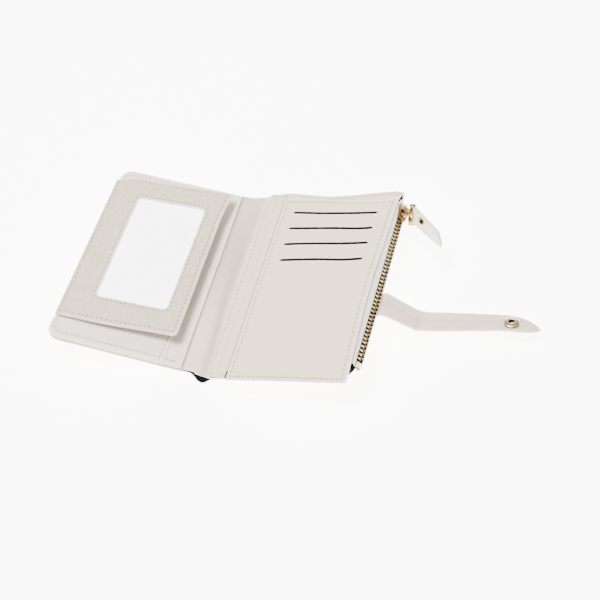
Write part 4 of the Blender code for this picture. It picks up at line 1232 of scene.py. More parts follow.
def fb_under(x, y):
    x, y = -np.asarray(x, float), np.asarray(y, float)
    px, py = flap_warp(x, y)
    return flap_put(px, py, 0.05 + 0.35 * gauss(rect_f.inside(x, y) / 2.4) + flap_sag(x, y) - 0.36)


th.row([(-p[0], p[1]) for p in rect_f.loop(2.5)], fb_under, closed=True)
for ob in th.make():
    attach(ob, "id_flap")

card, _ = sheet("blank_window_card", Rect(WIN[0] - 3.5, WIN[1] + 3.5, WIN[2] - 4, WIN[3] + 4, (3, 3, 3, 3)), lambda x, y: 0.62 + flap_sag(x, y), 0.16, flap_put, M_CARD_GLOWING, step=6.0, bead=0)
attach(card, "id_flap")
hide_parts("insert_card")
film, _ = sheet("window_clear_film", Rect(WIN[0] - 4.5, WIN[1] + 4.5, WIN[2] - 5, WIN[3] + 5, (1, 1, 1, 1)), lambda x, y: 0.98 + flap_sag(x, y) + 0.03 * np.sin(x / 7.0) * np.sin(y / 11.0 + 1), 0.10, flap_put, M_FILM, step=5.0)
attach(film, "id_flap")
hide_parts("window_film")


def hinge_roll():
    ys = np.linspace(-50.4, 52.4, 52)
    prof = []
    # from the pocket layer up round the fold and into the flap, in the flap's own section (x, n)
    for a in np.linspace(200, -20, 15):
        prof.append((0.4 + 1.15 * math.cos(math.radians(a)) * 0.9, -0.35 + 1.30 * math.sin(math.radians(a))))
    outer = [(-0.9, -2.2), (-1.15, -1.3)] + prof + [(3.2, 0.35)]
    inner = [(x * 0.55 + 0.5, n * 0.62 - 0.25) for x, n in outer[::-1]]
    ring = outer + inner
    V, F = [], []
    for y in ys:
        k = 1.0 + 0.03 * math.sin(y / 6.0)
        for x, n in ring:
            V.append((x * k, y, n * k))
    V = np.array(V)
    m = len(ring)
    for i in range(len(ys) - 1):
        for j in range(m):
            F.append([i * m + j, i * m + (j + 1) % m, (i + 1) * m + (j + 1) % m, (i + 1) * m + j])
    h = len(outer)
    for base in (0, (len(ys) - 1) * m):
        for j in range(h - 1):
            F.append([base + j, base + j + 1, base + m - 2 - j, base + m - 1 - j])
    P = flap_put(V[:, 0], V[:, 1], V[:, 2])
    ob = build("flap_fold_roll", P, F, M_FLAP, {"wear_and_painted_highlight": np.full(len(V), 0.25)})
    weld(ob)
    return ob


roll = hinge_roll()
_n = LEFT.to_3x3() @ Vector((0, 0, 1))
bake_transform(roll)
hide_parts("flap_hinge_bead")

# ================================================================== zip
# the chain rolls up a little on its tapes
ZIP_ROLL = 13.0
ZIPV = ZIP @ Matrix.Rotation(math.radians(-ZIP_ROLL), 4, 'Y')
SLIDERV = ZIPV @ shift(0, SLIDER_Y - 1.0, 0)
_lv = math.radians(ZIP_LEAN - ZIP_ROLL)
ZDV = Vector((math.cos(_lv), 0, -math.sin(_lv)))
zip_put = in_frame(ZIPV)


def chain_x(y):
    return ZIP_X + y * math.tan(math.radians(ZIP_YAW))


def zip_tape(name, side, mat):
    """Woven tape from between the pages to the chain."""
    ys = np.linspace(-55.6, 58.2, 59)
    V, F, seam_and_painted_shade, V_plan = [], [], [], []
    m = None
    for y in ys:
        if side > 0:
            d = -2.75
            end = (chain_x(y) + ZDV.x * d, ZIP_N + ZDV.z * d)
            xe = 88.3 + float(np.interp(y, EDGE_Y, EDGE_DX))
            w = end[0] - xe
            pts = [(80.5, 4.62), (84.0, 4.70), (xe - 1.4, 4.80), (xe + 0.05, 5.0), (xe + 0.35 * w, 5.65), (xe + 0.68 * w, 6.3), (end[0] - 0.35, 6.85), end, (end[0] + 0.14, end[1] - 0.6)]
        else:
            d = 2.75
            end = (chain_x(y) + ZDV.x * d, ZIP_N + ZDV.z * d)
            pts = [(80.5, 3.25), (84.5, 3.3), (87.4, 3.2), (87.4 + (end[0] - 87.4) * 0.3, 2.35), (87.4 + (end[0] - 87.4) * 0.62, 1.4), (end[0] - 0.75, 0.98), (end[0] - 0.2, 1.0), end, (end[0] - 0.10, end[1] + 0.7)]
        path = []
        for i in range(len(pts) - 1):
            p0, p1, p2, p3 = pts[max(0, i - 1)], pts[i], pts[i + 1], pts[min(len(pts) - 1, i + 2)]
            for s in range(4):
                u = s / 4
                path.append(tuple(0.5 * ((2 * p1[k]) + (p2[k] - p0[k]) * u + (2 * p0[k] - 5 * p1[k] + 4 * p2[k] - p3[k]) * u * u + (3 * p1[k] - p0[k] - 3 * p2[k] + p3[k]) * u ** 3) for k in (0, 1)))
        path.append(pts[-1])
        up, dn = [], []
        for i, p in enumerate(path):
            a, b = Vector(path[max(0, i - 1)]), Vector(path[min(len(path) - 1, i + 1)])
            t = (b - a).normalized()
            n = Vector((-t.y, t.x))
            hw = 0.17 + 0.10 * gauss((len(path) - 4 - i) / 2.0)
            up.append((p[0] + n.x * hw, p[1] + n.y * hw))
            dn.append((p[0] - n.x * hw, p[1] - n.y * hw))
        ring = up + dn[::-1]
        m = len(ring)
        wob = 0.05 * math.sin(y / 5.0) + 0.03 * math.sin(y / 2.1)
        for i, (x, n) in enumerate(ring):
            k = i if i < len(up) else m - 1 - i
            f = smooth((x - 88.2) / 2.0) * (1 - smooth((k - len(up) + 8) / 6))
            cut = 3.4 * (1 - float(smooth((x - 87.0) / 4.0))) * float(smooth((-y - 46) / 9.6))
            cut += 2.6 * float(smooth((x - 90.0) / 1.5)) * float(smooth((-y - 50) / 5.6))
            V.append(right_put(np.array(x), np.array(y + cut), np.array(n + wob * f)))
            V_plan.append((x, y))
            # the tape darkens almost to black where it meets the teeth: painted shade in the gaps between them
            seam_and_painted_shade.append(0.9 * float(smooth((k - len(up) + 5) / 3)))
    for i in range(len(ys) - 1):
        for j in range(m):
            F.append([i * m + j, i * m + (j + 1) % m, (i + 1) * m + (j + 1) % m, (i + 1) * m + j])
    h = m // 2
    for base in (0, (len(ys) - 1) * m):
        for j in range(h - 1):
            F.append([base + j, base + j + 1, base + m - 2 - j, base + m - 1 - j])
    if side > 0:
        for q, (px_, py_) in enumerate([(v[0], v[1]) for v in V_plan]):
            xe = 88.3 + float(np.interp(py_, EDGE_Y, EDGE_DX))
            # painted shade line in the crevice at the card panel's edge
            seam_and_painted_shade[q] = max(seam_and_painted_shade[q], 0.42 * float(gauss((px_ - xe - 0.35) / 0.4)))
    ob = build(name, np.array(V), F, mat, {"seam_and_painted_shade": seam_and_painted_shade})
    weld(ob)
    return ob


for nm, side, cad in (("zip_tape_near_panel", 1, "zip_tape_upper"), ("zip_tape_near_cover", -1, "zip_tape_lower")):
    ob = zip_tape(nm, side, M_TAPE)
    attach(ob, "right_half")
    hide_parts(cad)


TOOTH_EDGE = 0.30


def tooth_shape(sign):
    """One tooth in chain coordinates about its own centre: (m, y, z) rings from its foot to its rounded head."""
    rings = []
    for z, hw, m0, m1 in ((2.80, 0.22, -0.55, 0.70), (2.7, 0.34, -0.68, 0.95), (2.0, 0.40, -0.72, 1.08), (1.5, 0.34, -0.72, 1.0), (1.2, 0.27, -0.70, 0.92), (0.75, 0.25, -0.66, 0.88), (0.45, 0.24, -0.64, 0.80), (0.22, 0.27, -0.62, 0.70), (-0.2, 0.27, -0.62, 0.70), (-0.42, 0.22, -0.5, 0.60), (-0.52, 0.12, -0.3, 0.45)):
        ring = []
        for cy, cm in ((-1, 0), (-0.82, 1), (0.82, 1), (1, 0)):
            ring.append(((m1 if cm else m1 - 0.22), cy * hw, z * sign))
        for cy, cm in ((1, 0), (0.82, 1), (-0.82, 1), (-1, 0)):
            ring.append(((m0 if cm else m0 + 0.22), cy * hw, z * sign))
        rings.append(ring)
    return rings


def teeth(name, sign, phase):
    V, F, S = [], [], []
    rings = tooth_shape(sign)
    k = len(rings[0])
    for t in range(TOOTH_COUNT):
        y = ZIP_Y0 + phase + TOOTH_PITCH * t
        base = len(V)
        dy, dm = RNG.uniform(-0.05, 0.05), RNG.uniform(-0.05, 0.05)
        for ring in rings:
            for m, yy, z in ring:
                V.append((m + dm, y + yy + dy, z))
                # low parts and sides of each tooth are darkened: painted shade in the gaps between teeth
                S.append(1.0 if m < 0.5 or (abs(z) < 0.5 and m < 0.6) else (0.28 if abs(yy) > 0.9 * TOOTH_EDGE else 0.70 if abs(z) < 0.3 else 0.0))
        for i in range(len(rings) - 1):
            for j in range(k):
                F.append([base + i * k + j, base + i * k + (j + 1) % k, base + (i + 1) * k + (j + 1) % k, base + (i + 1) * k + j])
        F.append([base + j for j in range(k)][::-1])
        F.append([base + (len(rings) - 1) * k + j for j in range(k)])
    V = np.array(V)
    ob = build(name, zip_put(V[:, 0], V[:, 1], V[:, 2]), F, M_TEETH, {"seam_and_painted_shade": S}, True, 35)
    weld(ob)
    ob.data.set_sharp_from_angle(angle=math.radians(35))
    return ob


for nm, sg, ph, cad in (("zip_tooth_row_upper", 1, 0.0, "zip_teeth_upper"), ("zip_tooth_row_lower", -1, TOOTH_PITCH / 2, "zip_teeth_lower")):
    ob = teeth(nm, sg, ph)
    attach(ob, "right_half")
    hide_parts(cad)


def block(name, m, size, mat, rnd=0.35, seg=3):
    """A small pressed metal piece with rounded edges, sizes (m, y, z) as (low, high) pairs."""
    import bmesh
    bm = bmesh.new()
    bmesh.ops.create_cube(bm, size=1.0)
    for v in bm.verts:
        v.co = Vector([(size[i][0] + size[i][1]) / 2 + v.co[i] * (size[i][1] - size[i][0]) for i in range(3)])
    bmesh.ops.bevel(bm, geom=bm.edges[:] + bm.verts[:], offset=rnd, segments=seg, affect='EDGES', profile=0.5)
    bm.verts.ensure_lookup_table()
    V = np.array([v.co[:] for v in bm.verts])
    for i, v in enumerate(bm.verts):
        v.index = i
    F = [[v.index for v in f.verts] for f in bm.faces]
    bm.free()
    return build(name, in_frame(m)(V[:, 0], V[:, 1], V[:, 2]), F, mat)


# black strips behind the teeth, seen in the gaps between them: painted shade standing in for the deep gaps
for nm, zz in (("zip_gap_shade_strip_upper", (0.05, 2.5)), ("zip_gap_shade_strip_lower", (-2.5, -0.05))):
    ob = block(nm, ZIPV, ((-0.5, 0.40), (-50.6, 52.4), zz), M_BLACK_CLOTH_AND_SHADE, 0.28)
    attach(ob, "right_half")
ob = block("zip_bottom_stop_staple", ZIPV, ((-0.65, 1.15), (-53.9, -51.5), (-2.45, 2.45)), M_STOP, 0.45)
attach(ob, "right_half"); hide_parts("zip_bottom_stop")
ob = block("zip_top_stop_staple_upper", ZIPV, ((-0.65, 0.55), (56.2, 57.6), (0.5, 2.2)), M_TEETH, 0.3)
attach(ob, "right_half"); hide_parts("zip_top_stop_upper")
ob = block("zip_top_stop_staple_lower", ZIPV, ((-0.65, 0.55), (56.2, 57.6), (-2.2, -0.5)), M_TEETH, 0.3)
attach(ob, "right_half"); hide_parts("zip_top_stop_lower")


# ================================================================== dark gussets that close the pocket's ends
def gusset(name, plan, n0, n1, cad=None):
    """Folded cloth corner: its plan outline between two heights, puffed a little in the middle."""
    V, F = [], []
    n = len(plan)
    cx, cy = sum(p[0] for p in plan) / n, sum(p[1] for p in plan) / n
    layers = [(0.80, n0), (0.97, n0 + 0.08), (1.0, (n0 + n1) / 2), (0.97, n1 - 0.08), (0.80, n1)]
    for k, z in layers:
        for x, y in plan:
            V.append(right_put(np.array(cx + (x - cx) * k), np.array(cy + (y - cy) * k), np.array(z)))
    for i in range(len(layers) - 1):
        for j in range(n):
            F.append([i * n + j, i * n + (j + 1) % n, (i + 1) * n + (j + 1) % n, (i + 1) * n + j])
    F.append(list(range(n))[::-1])
    F.append([(len(layers) - 1) * n + j for j in range(n)])
    ob = build(name, np.array(V), F, M_BLACK_CLOTH_AND_SHADE, None, True, 40)
    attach(ob, "right_half")
    if cad:
        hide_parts(cad)
    return ob


gusset("gusset_cloth_front", [(83.5, -58.5), (86.0, -59.6), (88.6, -56.2), (89.6, -54.6), (87.0, -51.6), (83.5, -51.6)], 3.35, 4.15, "gusset_front")
gusset("gusset_cloth_back", [(84.5, 56.0), (91.6, 56.4), (92.6, 59.0), (91.5, 64.0), (90.2, 60.5), (84.5, 59.0)], 3.45, 4.45, "gusset_back")
gusset("lining_corner_beside_panel", [(11.9, -67.2), (13.1, -67.4), (13.2, -62.0), (12.1, -62.0)], 3.0, 3.9)

# ================================================================== slider
sl_put = in_frame(SLIDERV)


def slider_shell():
    """Top plate with turned-down flanges: wider where the rows part, narrower behind."""
    ys = np.linspace(-5.0, 5.0, 21)
    V, F = [], []
    for y in ys:
        u = (y + 5.0) / 10.0
        end = math.sqrt(max(0.0, 1 - abs(2 * u - 1) ** 5))
        w = 3.2 + 0.85 * float(smooth((u - 0.25) / 0.6))
        w = w * (0.78 + 0.22 * end)
        crown = 2.05 + 0.22 * math.sin(math.pi * u) - 0.35 * (1 - end)
        sect = []
        for a in np.linspace(-1, 1, 13):
            sect.append((crown - 0.35 * abs(a) ** 3.0, a * w))
        sect += [(1.1, w * 1.02), (0.45, w * 1.01), (0.42, w * 0.87), (1.12, w * 0.84)]
        sect += [(1.18, a * w * 0.8) for a in np.linspace(0.8, -0.8, 5)]
        sect += [(1.12, -w * 0.84), (0.42, -w * 0.87), (0.45, -w * 1.01), (1.1, -w * 1.02)]
        for m, z in sect:
            V.append((m, y, z))
    n = len(V) // len(ys)
    V = np.array(V)
    for i in range(len(ys) - 1):
        for j in range(n):
            F.append([i * n + j, i * n + (j + 1) % n, (i + 1) * n + (j + 1) % n, (i + 1) * n + j])
    F.append(list(range(n))[::-1])
    F.append([(len(ys) - 1) * n + j for j in range(n)])
    # painted shade under the flanges and painted dark reflections as spots on the top plate
    dark = [0.85 * float(smooth((1.25 - v[0]) / 0.3)) + 1.0 * float(gauss((v[1] - 0.2) / 1.0) * gauss((abs(v[2]) - 1.7) / 0.8)) + 1.0 * float(gauss((abs(v[1]) - 3.4) / 0.7) * gauss((v[2] - 1.2) / 1.0)) + 0.8 * float(gauss((v[1] + 2.4) / 0.6) * gauss((v[2] + 1.6) / 0.8)) for v in V]
    ob = build("slider_shell", sl_put(V[:, 0], V[:, 1], V[:, 2]), F, M_GOLD, {"seam_and_painted_shade": [min(1.0, d) for d in dark]}, True, 50)
    return ob


ob = slider_shell()
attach(ob, "slider"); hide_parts("slider_body")
ob = block("slider_inner_plate", SLIDERV, ((-1.38, -0.9), (-4.6, 4.6), (-1.1, 1.1)), M_GOLD, 0.18)
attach(ob, "slider"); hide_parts("slider_back_plate")


def arch(name, m, mat):
    """The bridge that holds the ring: a flat bar bent into an arch."""
    pts = []
    for a in np.linspace(0, 180, 19):
        pts.append((math.cos(math.radians(a)), math.sin(math.radians(a))))
    path = [(3.15, 1.9)] + [(2.9 * abs(c) ** 0.6 * (1 if c >= 0 else -1), 2.7 + 2.25 * s ** 0.7) for c, s in pts] + [(-3.15, 1.9)]
    V, F = [], []
    for i, (y, mm) in enumerate(path):
        a, b = path[max(0, i - 1)], path[min(len(path) - 1, i + 1)]
        t = Vector((b[0] - a[0], b[1] - a[1])).normalized()
        nn = Vector((t.y, -t.x))
        w = 0.95 - 0.15 * math.sin(math.pi * i / (len(path) - 1))
        for k in range(10):
            ang = 2 * math.pi * k / 10
            o, z = 0.42 * math.copysign(abs(math.cos(ang)) ** 0.6, math.cos(ang)), w * math.copysign(abs(math.sin(ang)) ** 0.6, math.sin(ang))
            V.append((mm + nn.y * o, y + nn.x * o, z))
    V = np.array(V)
    n = 10
    for i in range(len(path) - 1):
        for j in range(n):
            F.append([i * n + j, i * n + (j + 1) % n, (i + 1) * n + (j + 1) % n, (i + 1) * n + j])
    F.append(list(range(n))[::-1])
    F.append([(len(path) - 1) * n + j for j in range(n)])
    ob = build(name, in_frame(m)(V[:, 0], V[:, 1], V[:, 2]), F, mat)
    weld(ob)
    return ob


ob = arch("slider_bridge_arch", SLIDERV, M_GOLD)
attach(ob, "slider"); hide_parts("slider_bridge")

# ================================================================== pull: ring, crimped tube, leather tab, eyelet
ring_put = in_frame(RING)
pts = []
for cx, cz, a0 in ((5.9 - 1.8, -4.7 + 1.8, -90), (5.9 - 1.8, 4.7 - 1.8, 0), (0 + 1.4, 4.7 - 1.4, 90), (0 + 1.4, -4.7 + 1.4, 180)):
    r_ = 1.8 if cx > 3 else 1.4
    for k in range(8):
        a = math.radians(a0 + 90 * k / 7)
        pts.append(tuple(ring_put(np.array(cx + r_ * math.cos(a)), np.array(0.0), np.array(cz + r_ * math.sin(a)))))
ob = tube("pull_ring_wire", pts, 1.25, M_GOLD, 16, closed=True)
weld(ob)
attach(ob, "pull"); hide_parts("pull_ring")

pull_put = in_frame(PULL)
TAB_LOW = ((2.0, -3.2), (8.3, -3.1), (15.3, -3.0), (24.9, -2.7), (31.6, -2.6))
TAB_HIGH = ((2.0, 7.55), (4.6, 7.45), (11.9, 6.7), (19.8, 5.9), (25.9, 5.15), (26.9, 4.5), (30.2, 0.7), (31.1, -1.4), (31.6, -2.3))


def tab_layer(name, y0, y1, dlow, dhigh, shade=0.0):
    """One leather layer of the tab, its end cut to a slant, its root held in the metal clamp."""
    us = np.concatenate([[0, 0.01, 0.03], np.linspace(0.07, 0.75, 14), np.linspace(0.78, 0.97, 9), [0.985, 0.995, 1.0]])
    k = 15
    rows, W, S = [], [], []
    for u in us:
        ring = []
        for side in (-1, 1):
            line = range(k) if side < 0 else range(k - 1, -1, -1)
            for j in line:
                a = -1 + 2 * j / (k - 1)
                a = math.copysign(1 - (1 - abs(a)) ** 1.7, a)
                # the root follows the slanted clamp, the end the slanted cut
                zr = 2.0 + a * 5.2
                x = (4.2 + (7.5 - zr) * 0.30) * (1 - u) + 31.5 * u
                lo = float(np.interp(x, [q[0] for q in TAB_LOW], [q[1] for q in TAB_LOW])) + dlow
                hi = float(np.interp(x, [q[0] for q in TAB_HIGH], [q[1] for q in TAB_HIGH])) + dhigh
                hi = max(hi, lo + 0.15)
                z = (lo + hi) / 2 + a * (hi - lo) / 2
                d = min((1 - abs(a)) * (hi - lo) / 2, (31.6 - x) * 0.8)
                e = math.sqrt(max(0.0, 1 - (1 - min(1.0, max(0.0, d) / 0.30)) ** 2))
                mid, half = (y0 + y1) / 2, (y1 - y0) / 2
                # a slow bend of the whole tab
                bend = 0.0011 * max(0.0, x - 8) ** 2
                ring.append((x, mid + side * half * (0.25 + 0.75 * e) + bend, z))
                # paler rolled edges; the edges are also darkened a little, and the front layer gets a grey painted
                # shade band along its lower edge
                W.append(1 - e)
                S.append(max(0.5 * (1 - e), shade * float(smooth((-a - 0.80) / 0.08))))
        rows.append(ring)
    n = len(rows[0])
    V = np.array([q for r in rows for q in r])
    F = []
    for i in range(len(rows) - 1):
        for j in range(n):
            F.append([i * n + j, i * n + (j + 1) % n, (i + 1) * n + (j + 1) % n, (i + 1) * n + j])
    F.append(list(range(n))[::-1])
    F.append([(len(rows) - 1) * n + j for j in range(n)])
    ob = build(name, pull_put(V[:, 0], V[:, 1], V[:, 2]), F, M_TAB_PAINTED_BRIGHT, {"wear_and_painted_highlight": W, "seam_and_painted_shade": S})
    weld(ob)
    return ob


for nm, y0, y1, dl, dh, sh in (("pull_tab_front_layer", -0.86, -0.05, 0.0, -0.15, 1.0), ("pull_tab_back_layer", 0.03, 0.84, -0.3, 0.0, 0.0)):
    ob = tab_layer(nm, y0, y1, dl, dh, sh)
    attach(ob, "pull"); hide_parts("pull_tab")

ta = np.linspace(0, 1, 19)
prof = [(0.42 + 1.28 * math.sqrt(max(0.0, 1 - abs(2 * t - 1) ** 7))) * (1 + 0.38 * float(smooth((t - 0.50) / 0.25))) for t in ta]
ob = tube("pull_clamp_tube", [tuple(pull_put(np.array(3.15 + 3.0 * t), np.array(0.0), np.array(7.4 - 12.6 * t))) for t in ta], prof, M_GOLD, 22, up=(0.3, 0.9, 0.2))
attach(ob, "pull"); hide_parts("pull_clamp")
for k, t in enumerate((0.03, 0.97)):
    pc = [tuple(pull_put(np.array(3.0 + 3.1 * t + 0.25 * q), np.array(0.0), np.array(7.4 - 12.6 * t - q))) for q in np.linspace(-0.7, 0.7, 7)]
    ob = tube("pull_clamp_knob_%d" % (k + 1), pc, [1.1, 1.7, 2.0, 2.05, 2.0, 1.7, 1.1], M_GOLD, 20, up=(0.3, 0.9, 0.2))
    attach(ob, "pull")

for side, nm, cad in ((1, "pull_eyelet_front", "pull_rivet_front"), (-1, "pull_eyelet_back", "pull_rivet_back")):
    m = PULL @ shift(13.3, 0.03, 2.9) @ Matrix.Rotation(math.radians(90 * side), 4, 'X')
    ob = lathe(nm, m, [(1.3, 0.55), (1.36, 1.05), (1.6, 1.24), (2.0, 1.22), (2.4, 1.02), (2.55, 0.78), (1.9, 0.72), (1.35, 0.5)], M_GOLD, 40)
    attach(ob, "pull"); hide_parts(cad)
    # a black disc fills the eyelet's hole: painted shade
    ob = lathe(nm + "_hole", m, [(0.0, 0.90), (0.6, 0.91), (1.33, 0.94), (1.33, 0.6), (0.0, 0.6)], M_BLACK_CLOTH_AND_SHADE, 24)
    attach(ob, "pull")


# ================================================================== strap
def basis(xdir, twist):
    x = xdir.normalized()
    n = x.cross(Vector((0, 1, 0))).normalized()
    if n.z < 0:
        n = -n
    w = n.cross(x).normalized()
    t = math.radians(twist)
    y = w * math.cos(t) + n * math.sin(t)
    z = x.cross(y).normalized()
    m = Matrix.Identity(4)
    for i, a in enumerate((x, y, z)):
        for j in range(3):
            m[j][i] = a[j]
    return m


D1 = Vector((math.cos(math.radians(STRAP_DROP)), 0, -math.sin(math.radians(STRAP_DROP))))
_yw, _pt = math.radians(STRAP_YAW), math.radians(STRAP_PITCH)
D2 = Vector((math.cos(_pt) * math.cos(_yw), math.cos(_pt) * math.sin(_yw), math.sin(_pt)))
STRAP_END = STRAP_MID @ Matrix.Translation(D1 * STRAP_L1 + D2 * STRAP_L1B) @ basis(D2, TWIST_2)
HW = 8.0
stations = []          # (point, across, normal, low half width, high half width)
_RM = RIGHT.to_3x3()
for x in (73, 76, 79, 82, 84, 86, 88.5, 91.2):
    n = float(cover_n(np.array(min(x, 88.0)), np.array(STRAP_Y))) - COVER_T / 2 - 0.55 - 0.7
    if x > 86:
        n = n + (-0.95 - n) * float(smooth((x - 86) / 6))
    p = RIGHT @ Vector((x, STRAP_Y, n))
    q = RIGHT @ Vector((x + 0.5, STRAP_Y, n + (0.2 if x > 87 else (0 if x > 84 else float(cover_n(np.array(x + 0.5), np.array(STRAP_Y)) - cover_n(np.array(float(x)), np.array(STRAP_Y)))))))
    t = (q - p).normalized()
    nn0 = t.cross(Vector((0, 1, 0))).normalized()
    tw = math.radians(-8.0 * float(smooth((x - 86) / 6)))
    stations.append((p, Vector((0, 1, 0)) * math.cos(tw) + nn0 * math.sin(tw), nn0 * math.cos(tw) - Vector((0, 1, 0)) * math.sin(tw), HW, HW + 0.2))
A = STRAP_MID.to_3x3()
O = STRAP_MID.translation
for s in (-3.3, -1.6, 0.5, 3, 6, 10, 15, STRAP_L1 - 2.6):
    b = basis(D1, float(np.interp(s, (-4, 0, 5, 10, 15, 18.5), (-6, -9, -12, -14, -16, -17))))
    up = 0.45 * float(gauss(s / 6.0)) - 0.35 * float(gauss((s + 3.3) / 1.2))
    stations.append((O + A @ (D1 * s) + A @ b.col[2].to_3d() * up, A @ b.col[1].to_3d(), A @ b.col[2].to_3d(), HW + 0.02 * s, HW + 0.2 + 0.015 * s))
b = basis((D1 + D2).normalized(), TWIST_1)
stations.append((O + A @ (D1 * (STRAP_L1 - 0.35) + D2 * 0.35), A @ b.col[1].to_3d(), A @ b.col[2].to_3d(), HW - 0.25, HW + 0.5))
b = basis(D2, TWIST_1 + (TWIST_2 - TWIST_1) * 0.5)
stations.append((O + A @ (D1 * STRAP_L1 + D2 * 2.8), A @ b.col[1].to_3d(), A @ b.col[2].to_3d(), HW + 0.15, HW + 0.5))
E, EO = STRAP_END.to_3x3(), STRAP_END.translation
tip = [(1.0, 8.6, 8.5), (6.0, 8.7, 8.6), (14, 8.3, 8.4), (22, 7.8, 8.1), (30, 7.4, 7.85), (38, 7.0, 7.5), (43, 7.2, 7.1), (46.1, 7.5, 6.5), (48.5, 7.7, 5.85), (50.5, 7.8, 5.0), (52.4, 7.95, 4.0),
       (54.1, 8.05, 2.8), (55.6, 8.0, 1.65), (57.0, 7.85, 0.4), (58.3, 7.5, -1.0), (59.4, 6.95, -2.35), (60.3, 6.35, -3.6), (60.9, 5.9, -4.4), (61.3, 5.45, -4.85)]
for s, a, c in tip:
    stations.append((EO + E @ Vector((s, 0, 0)), E.col[1].copy(), E.col[2].copy(), a, c))


def catmull(k, u, vals):
    p0, p1, p2, p3 = vals[max(0, k - 1)], vals[k], vals[k + 1], vals[min(len(vals) - 1, k + 2)]
    return ((p1 * 2) + (p2 - p0) * u + (p0 * 2 - p1 * 5 + p2 * 4 - p3) * (u * u) + (p1 * 3 - p0 - p2 * 3 + p3) * (u ** 3)) * 0.5


def fine_stations(st, step=1.1):
    out = []
    pos = [s[0] for s in st]
    for k in range(len(st) - 1):
        n = max(1, int((st[k + 1][0] - st[k][0]).length / step))
        for i in range(n):
            u = i / n
            p = catmull(k, u, pos)
            w = (st[k][1].lerp(st[k + 1][1], u)).normalized()
            nn = (st[k][2].lerp(st[k + 1][2], u)).normalized()
            out.append((p, w, nn, st[k][3] + (st[k + 1][3] - st[k][3]) * u, st[k][4] + (st[k + 1][4] - st[k][4]) * u))
    out.append(st[-1])
    return out


FINE = fine_stations(stations)
# the split between the two strap pieces lies halfway down the first run
_split = O + A @ (D1 * 10.5)
_cut = min(range(len(FINE)), key=lambda i: (FINE[i][0] - _split).length)
T_HALF = 0.70


def strap_piece(name, rows, close_start, close_end):
    V, W, S = [], [], []
    k = 17
    n_rows = len(rows)
    for i, (p, w, nn, a, c) in enumerate(rows):
        endf = 1.0
        if close_end and i > n_rows - 4:
            endf = (0.75, 0.5, 0.12)[i - (n_rows - 3)]
        if close_start and i < 3:
            endf = (0.12, 0.6, 0.9)[i]
        top, low = [], []
        for j in range(k):
            t = -1 + 2 * j / (k - 1)
            t = math.copysign(1 - (1 - abs(t)) ** 1.9, t)
            y = (c - a) / 2 + t * (a + c) / 2
            dist = min(y + a, c - y)
            e = math.sqrt(max(0.0, 1 - (1 - min(1.0, dist / 0.8)) ** 2)) * endf
            groove = 0.10 * math.exp(-(y / 0.5) ** 2) * (1 if i < n_rows - 12 or not close_end else 0)
            crown = 0.10 * (1 - (y / max(1.0, (a + c) / 2)) ** 2)
            q = p + w * y
            top.append(q + nn * (T_HALF * e - groove + crown * e))
            low.append(q - nn * (T_HALF * e))
            # paler edges, partly wear and partly painted highlight; a faint painted shade along the centre groove
            W.append(math.exp(-(dist / 0.9) ** 2) * 0.9)
            S.append(0.24 * math.exp(-(y / 0.55) ** 2) if abs(y) < 2 else 0)
        V += top + low
        W = W + W[-k:]
        S = S + [0.0] * k
    m = 2 * k
    F = []
    for i in range(n_rows - 1):
        b0, b1 = i * m, (i + 1) * m
        for j in range(k - 1):
            F.append([b0 + j, b1 + j, b1 + j + 1, b0 + j + 1])
            F.append([b0 + k + j, b0 + k + j + 1, b1 + k + j + 1, b1 + k + j])
        F.append([b0, b0 + k, b1 + k, b1])
        F.append([b0 + k - 1, b1 + k - 1, b1 + 2 * k - 1, b0 + 2 * k - 1])
    for base in (0, (n_rows - 1) * m):
        for j in range(k - 1):
            F.append([base + j, base + j + 1, base + k + j + 1, base + k + j])
    ob = build(name, [tuple(v) for v in V], F, M_STRAP, {"wear_and_painted_highlight": W, "seam_and_painted_shade": S})
    weld(ob)
    ob.data.set_sharp_from_angle(angle=math.radians(62))
    return ob


strap_a = strap_piece("strap_sewn_part", FINE[:_cut + 1], True, False)
ht = tuple(O)
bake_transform(strap_a)
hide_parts("strap_root", "strap_mid")
strap_b = strap_piece("strap_free_part", FINE[_cut:], False, True)
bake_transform(strap_b)
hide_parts("strap_end")

# ================================================================== press stud
SN = STRAP_END @ shift(SNAP_S, SNAP_Y, 0)
ob = lathe("snap_socket_ring", SN, [(1.55, 0.75), (1.7, 1.4), (1.72, 2.05), (1.92, 2.30), (2.3, 2.38), (2.7, 2.30), (3.15, 2.12), (3.6, 2.10), (4.05, 1.98), (4.45, 1.70), (4.72, 1.35), (4.78, 1.05), (4.6, 0.85), (4.0, 0.72)], M_SNAP, 64, sharp=60)
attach(ob, "strap_end"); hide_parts("snap_socket")
# the socket's well is black: painted shade inside the socket
ob = lathe("snap_socket_well", SN, [(0.0, 0.72), (0.9, 0.74), (1.50, 0.80), (1.52, 1.85), (1.60, 1.95), (1.66, 0.55), (0.0, 0.5)], M_BLACK_CLOTH_AND_SHADE, 40)
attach(ob, "strap_end")
for k, sgn in enumerate((1, -1)):
    w0 = [tuple(in_frame(SN)(np.array(sgn * 1.57), np.array(y), np.array(1.5 + 0.02 * k))) for y in np.linspace(-0.6, 0.6, 9)]
    ob = tube("snap_spring_wire_%d" % (k + 1), w0, 0.10, M_TEETH, 8)
    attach(ob, "strap_end")
ob = lathe("snap_cap_dome", SN, [(0.0, -2.40), (1.4, -2.36), (2.8, -2.24), (3.8, -2.0), (4.5, -1.70), (4.9, -1.35), (5.05, -1.0), (4.85, -0.8), (4.0, -0.74), (0.0, -0.74)], M_GOLD, 64, sharp=60)
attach(ob, "strap_end"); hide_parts("snap_cap")

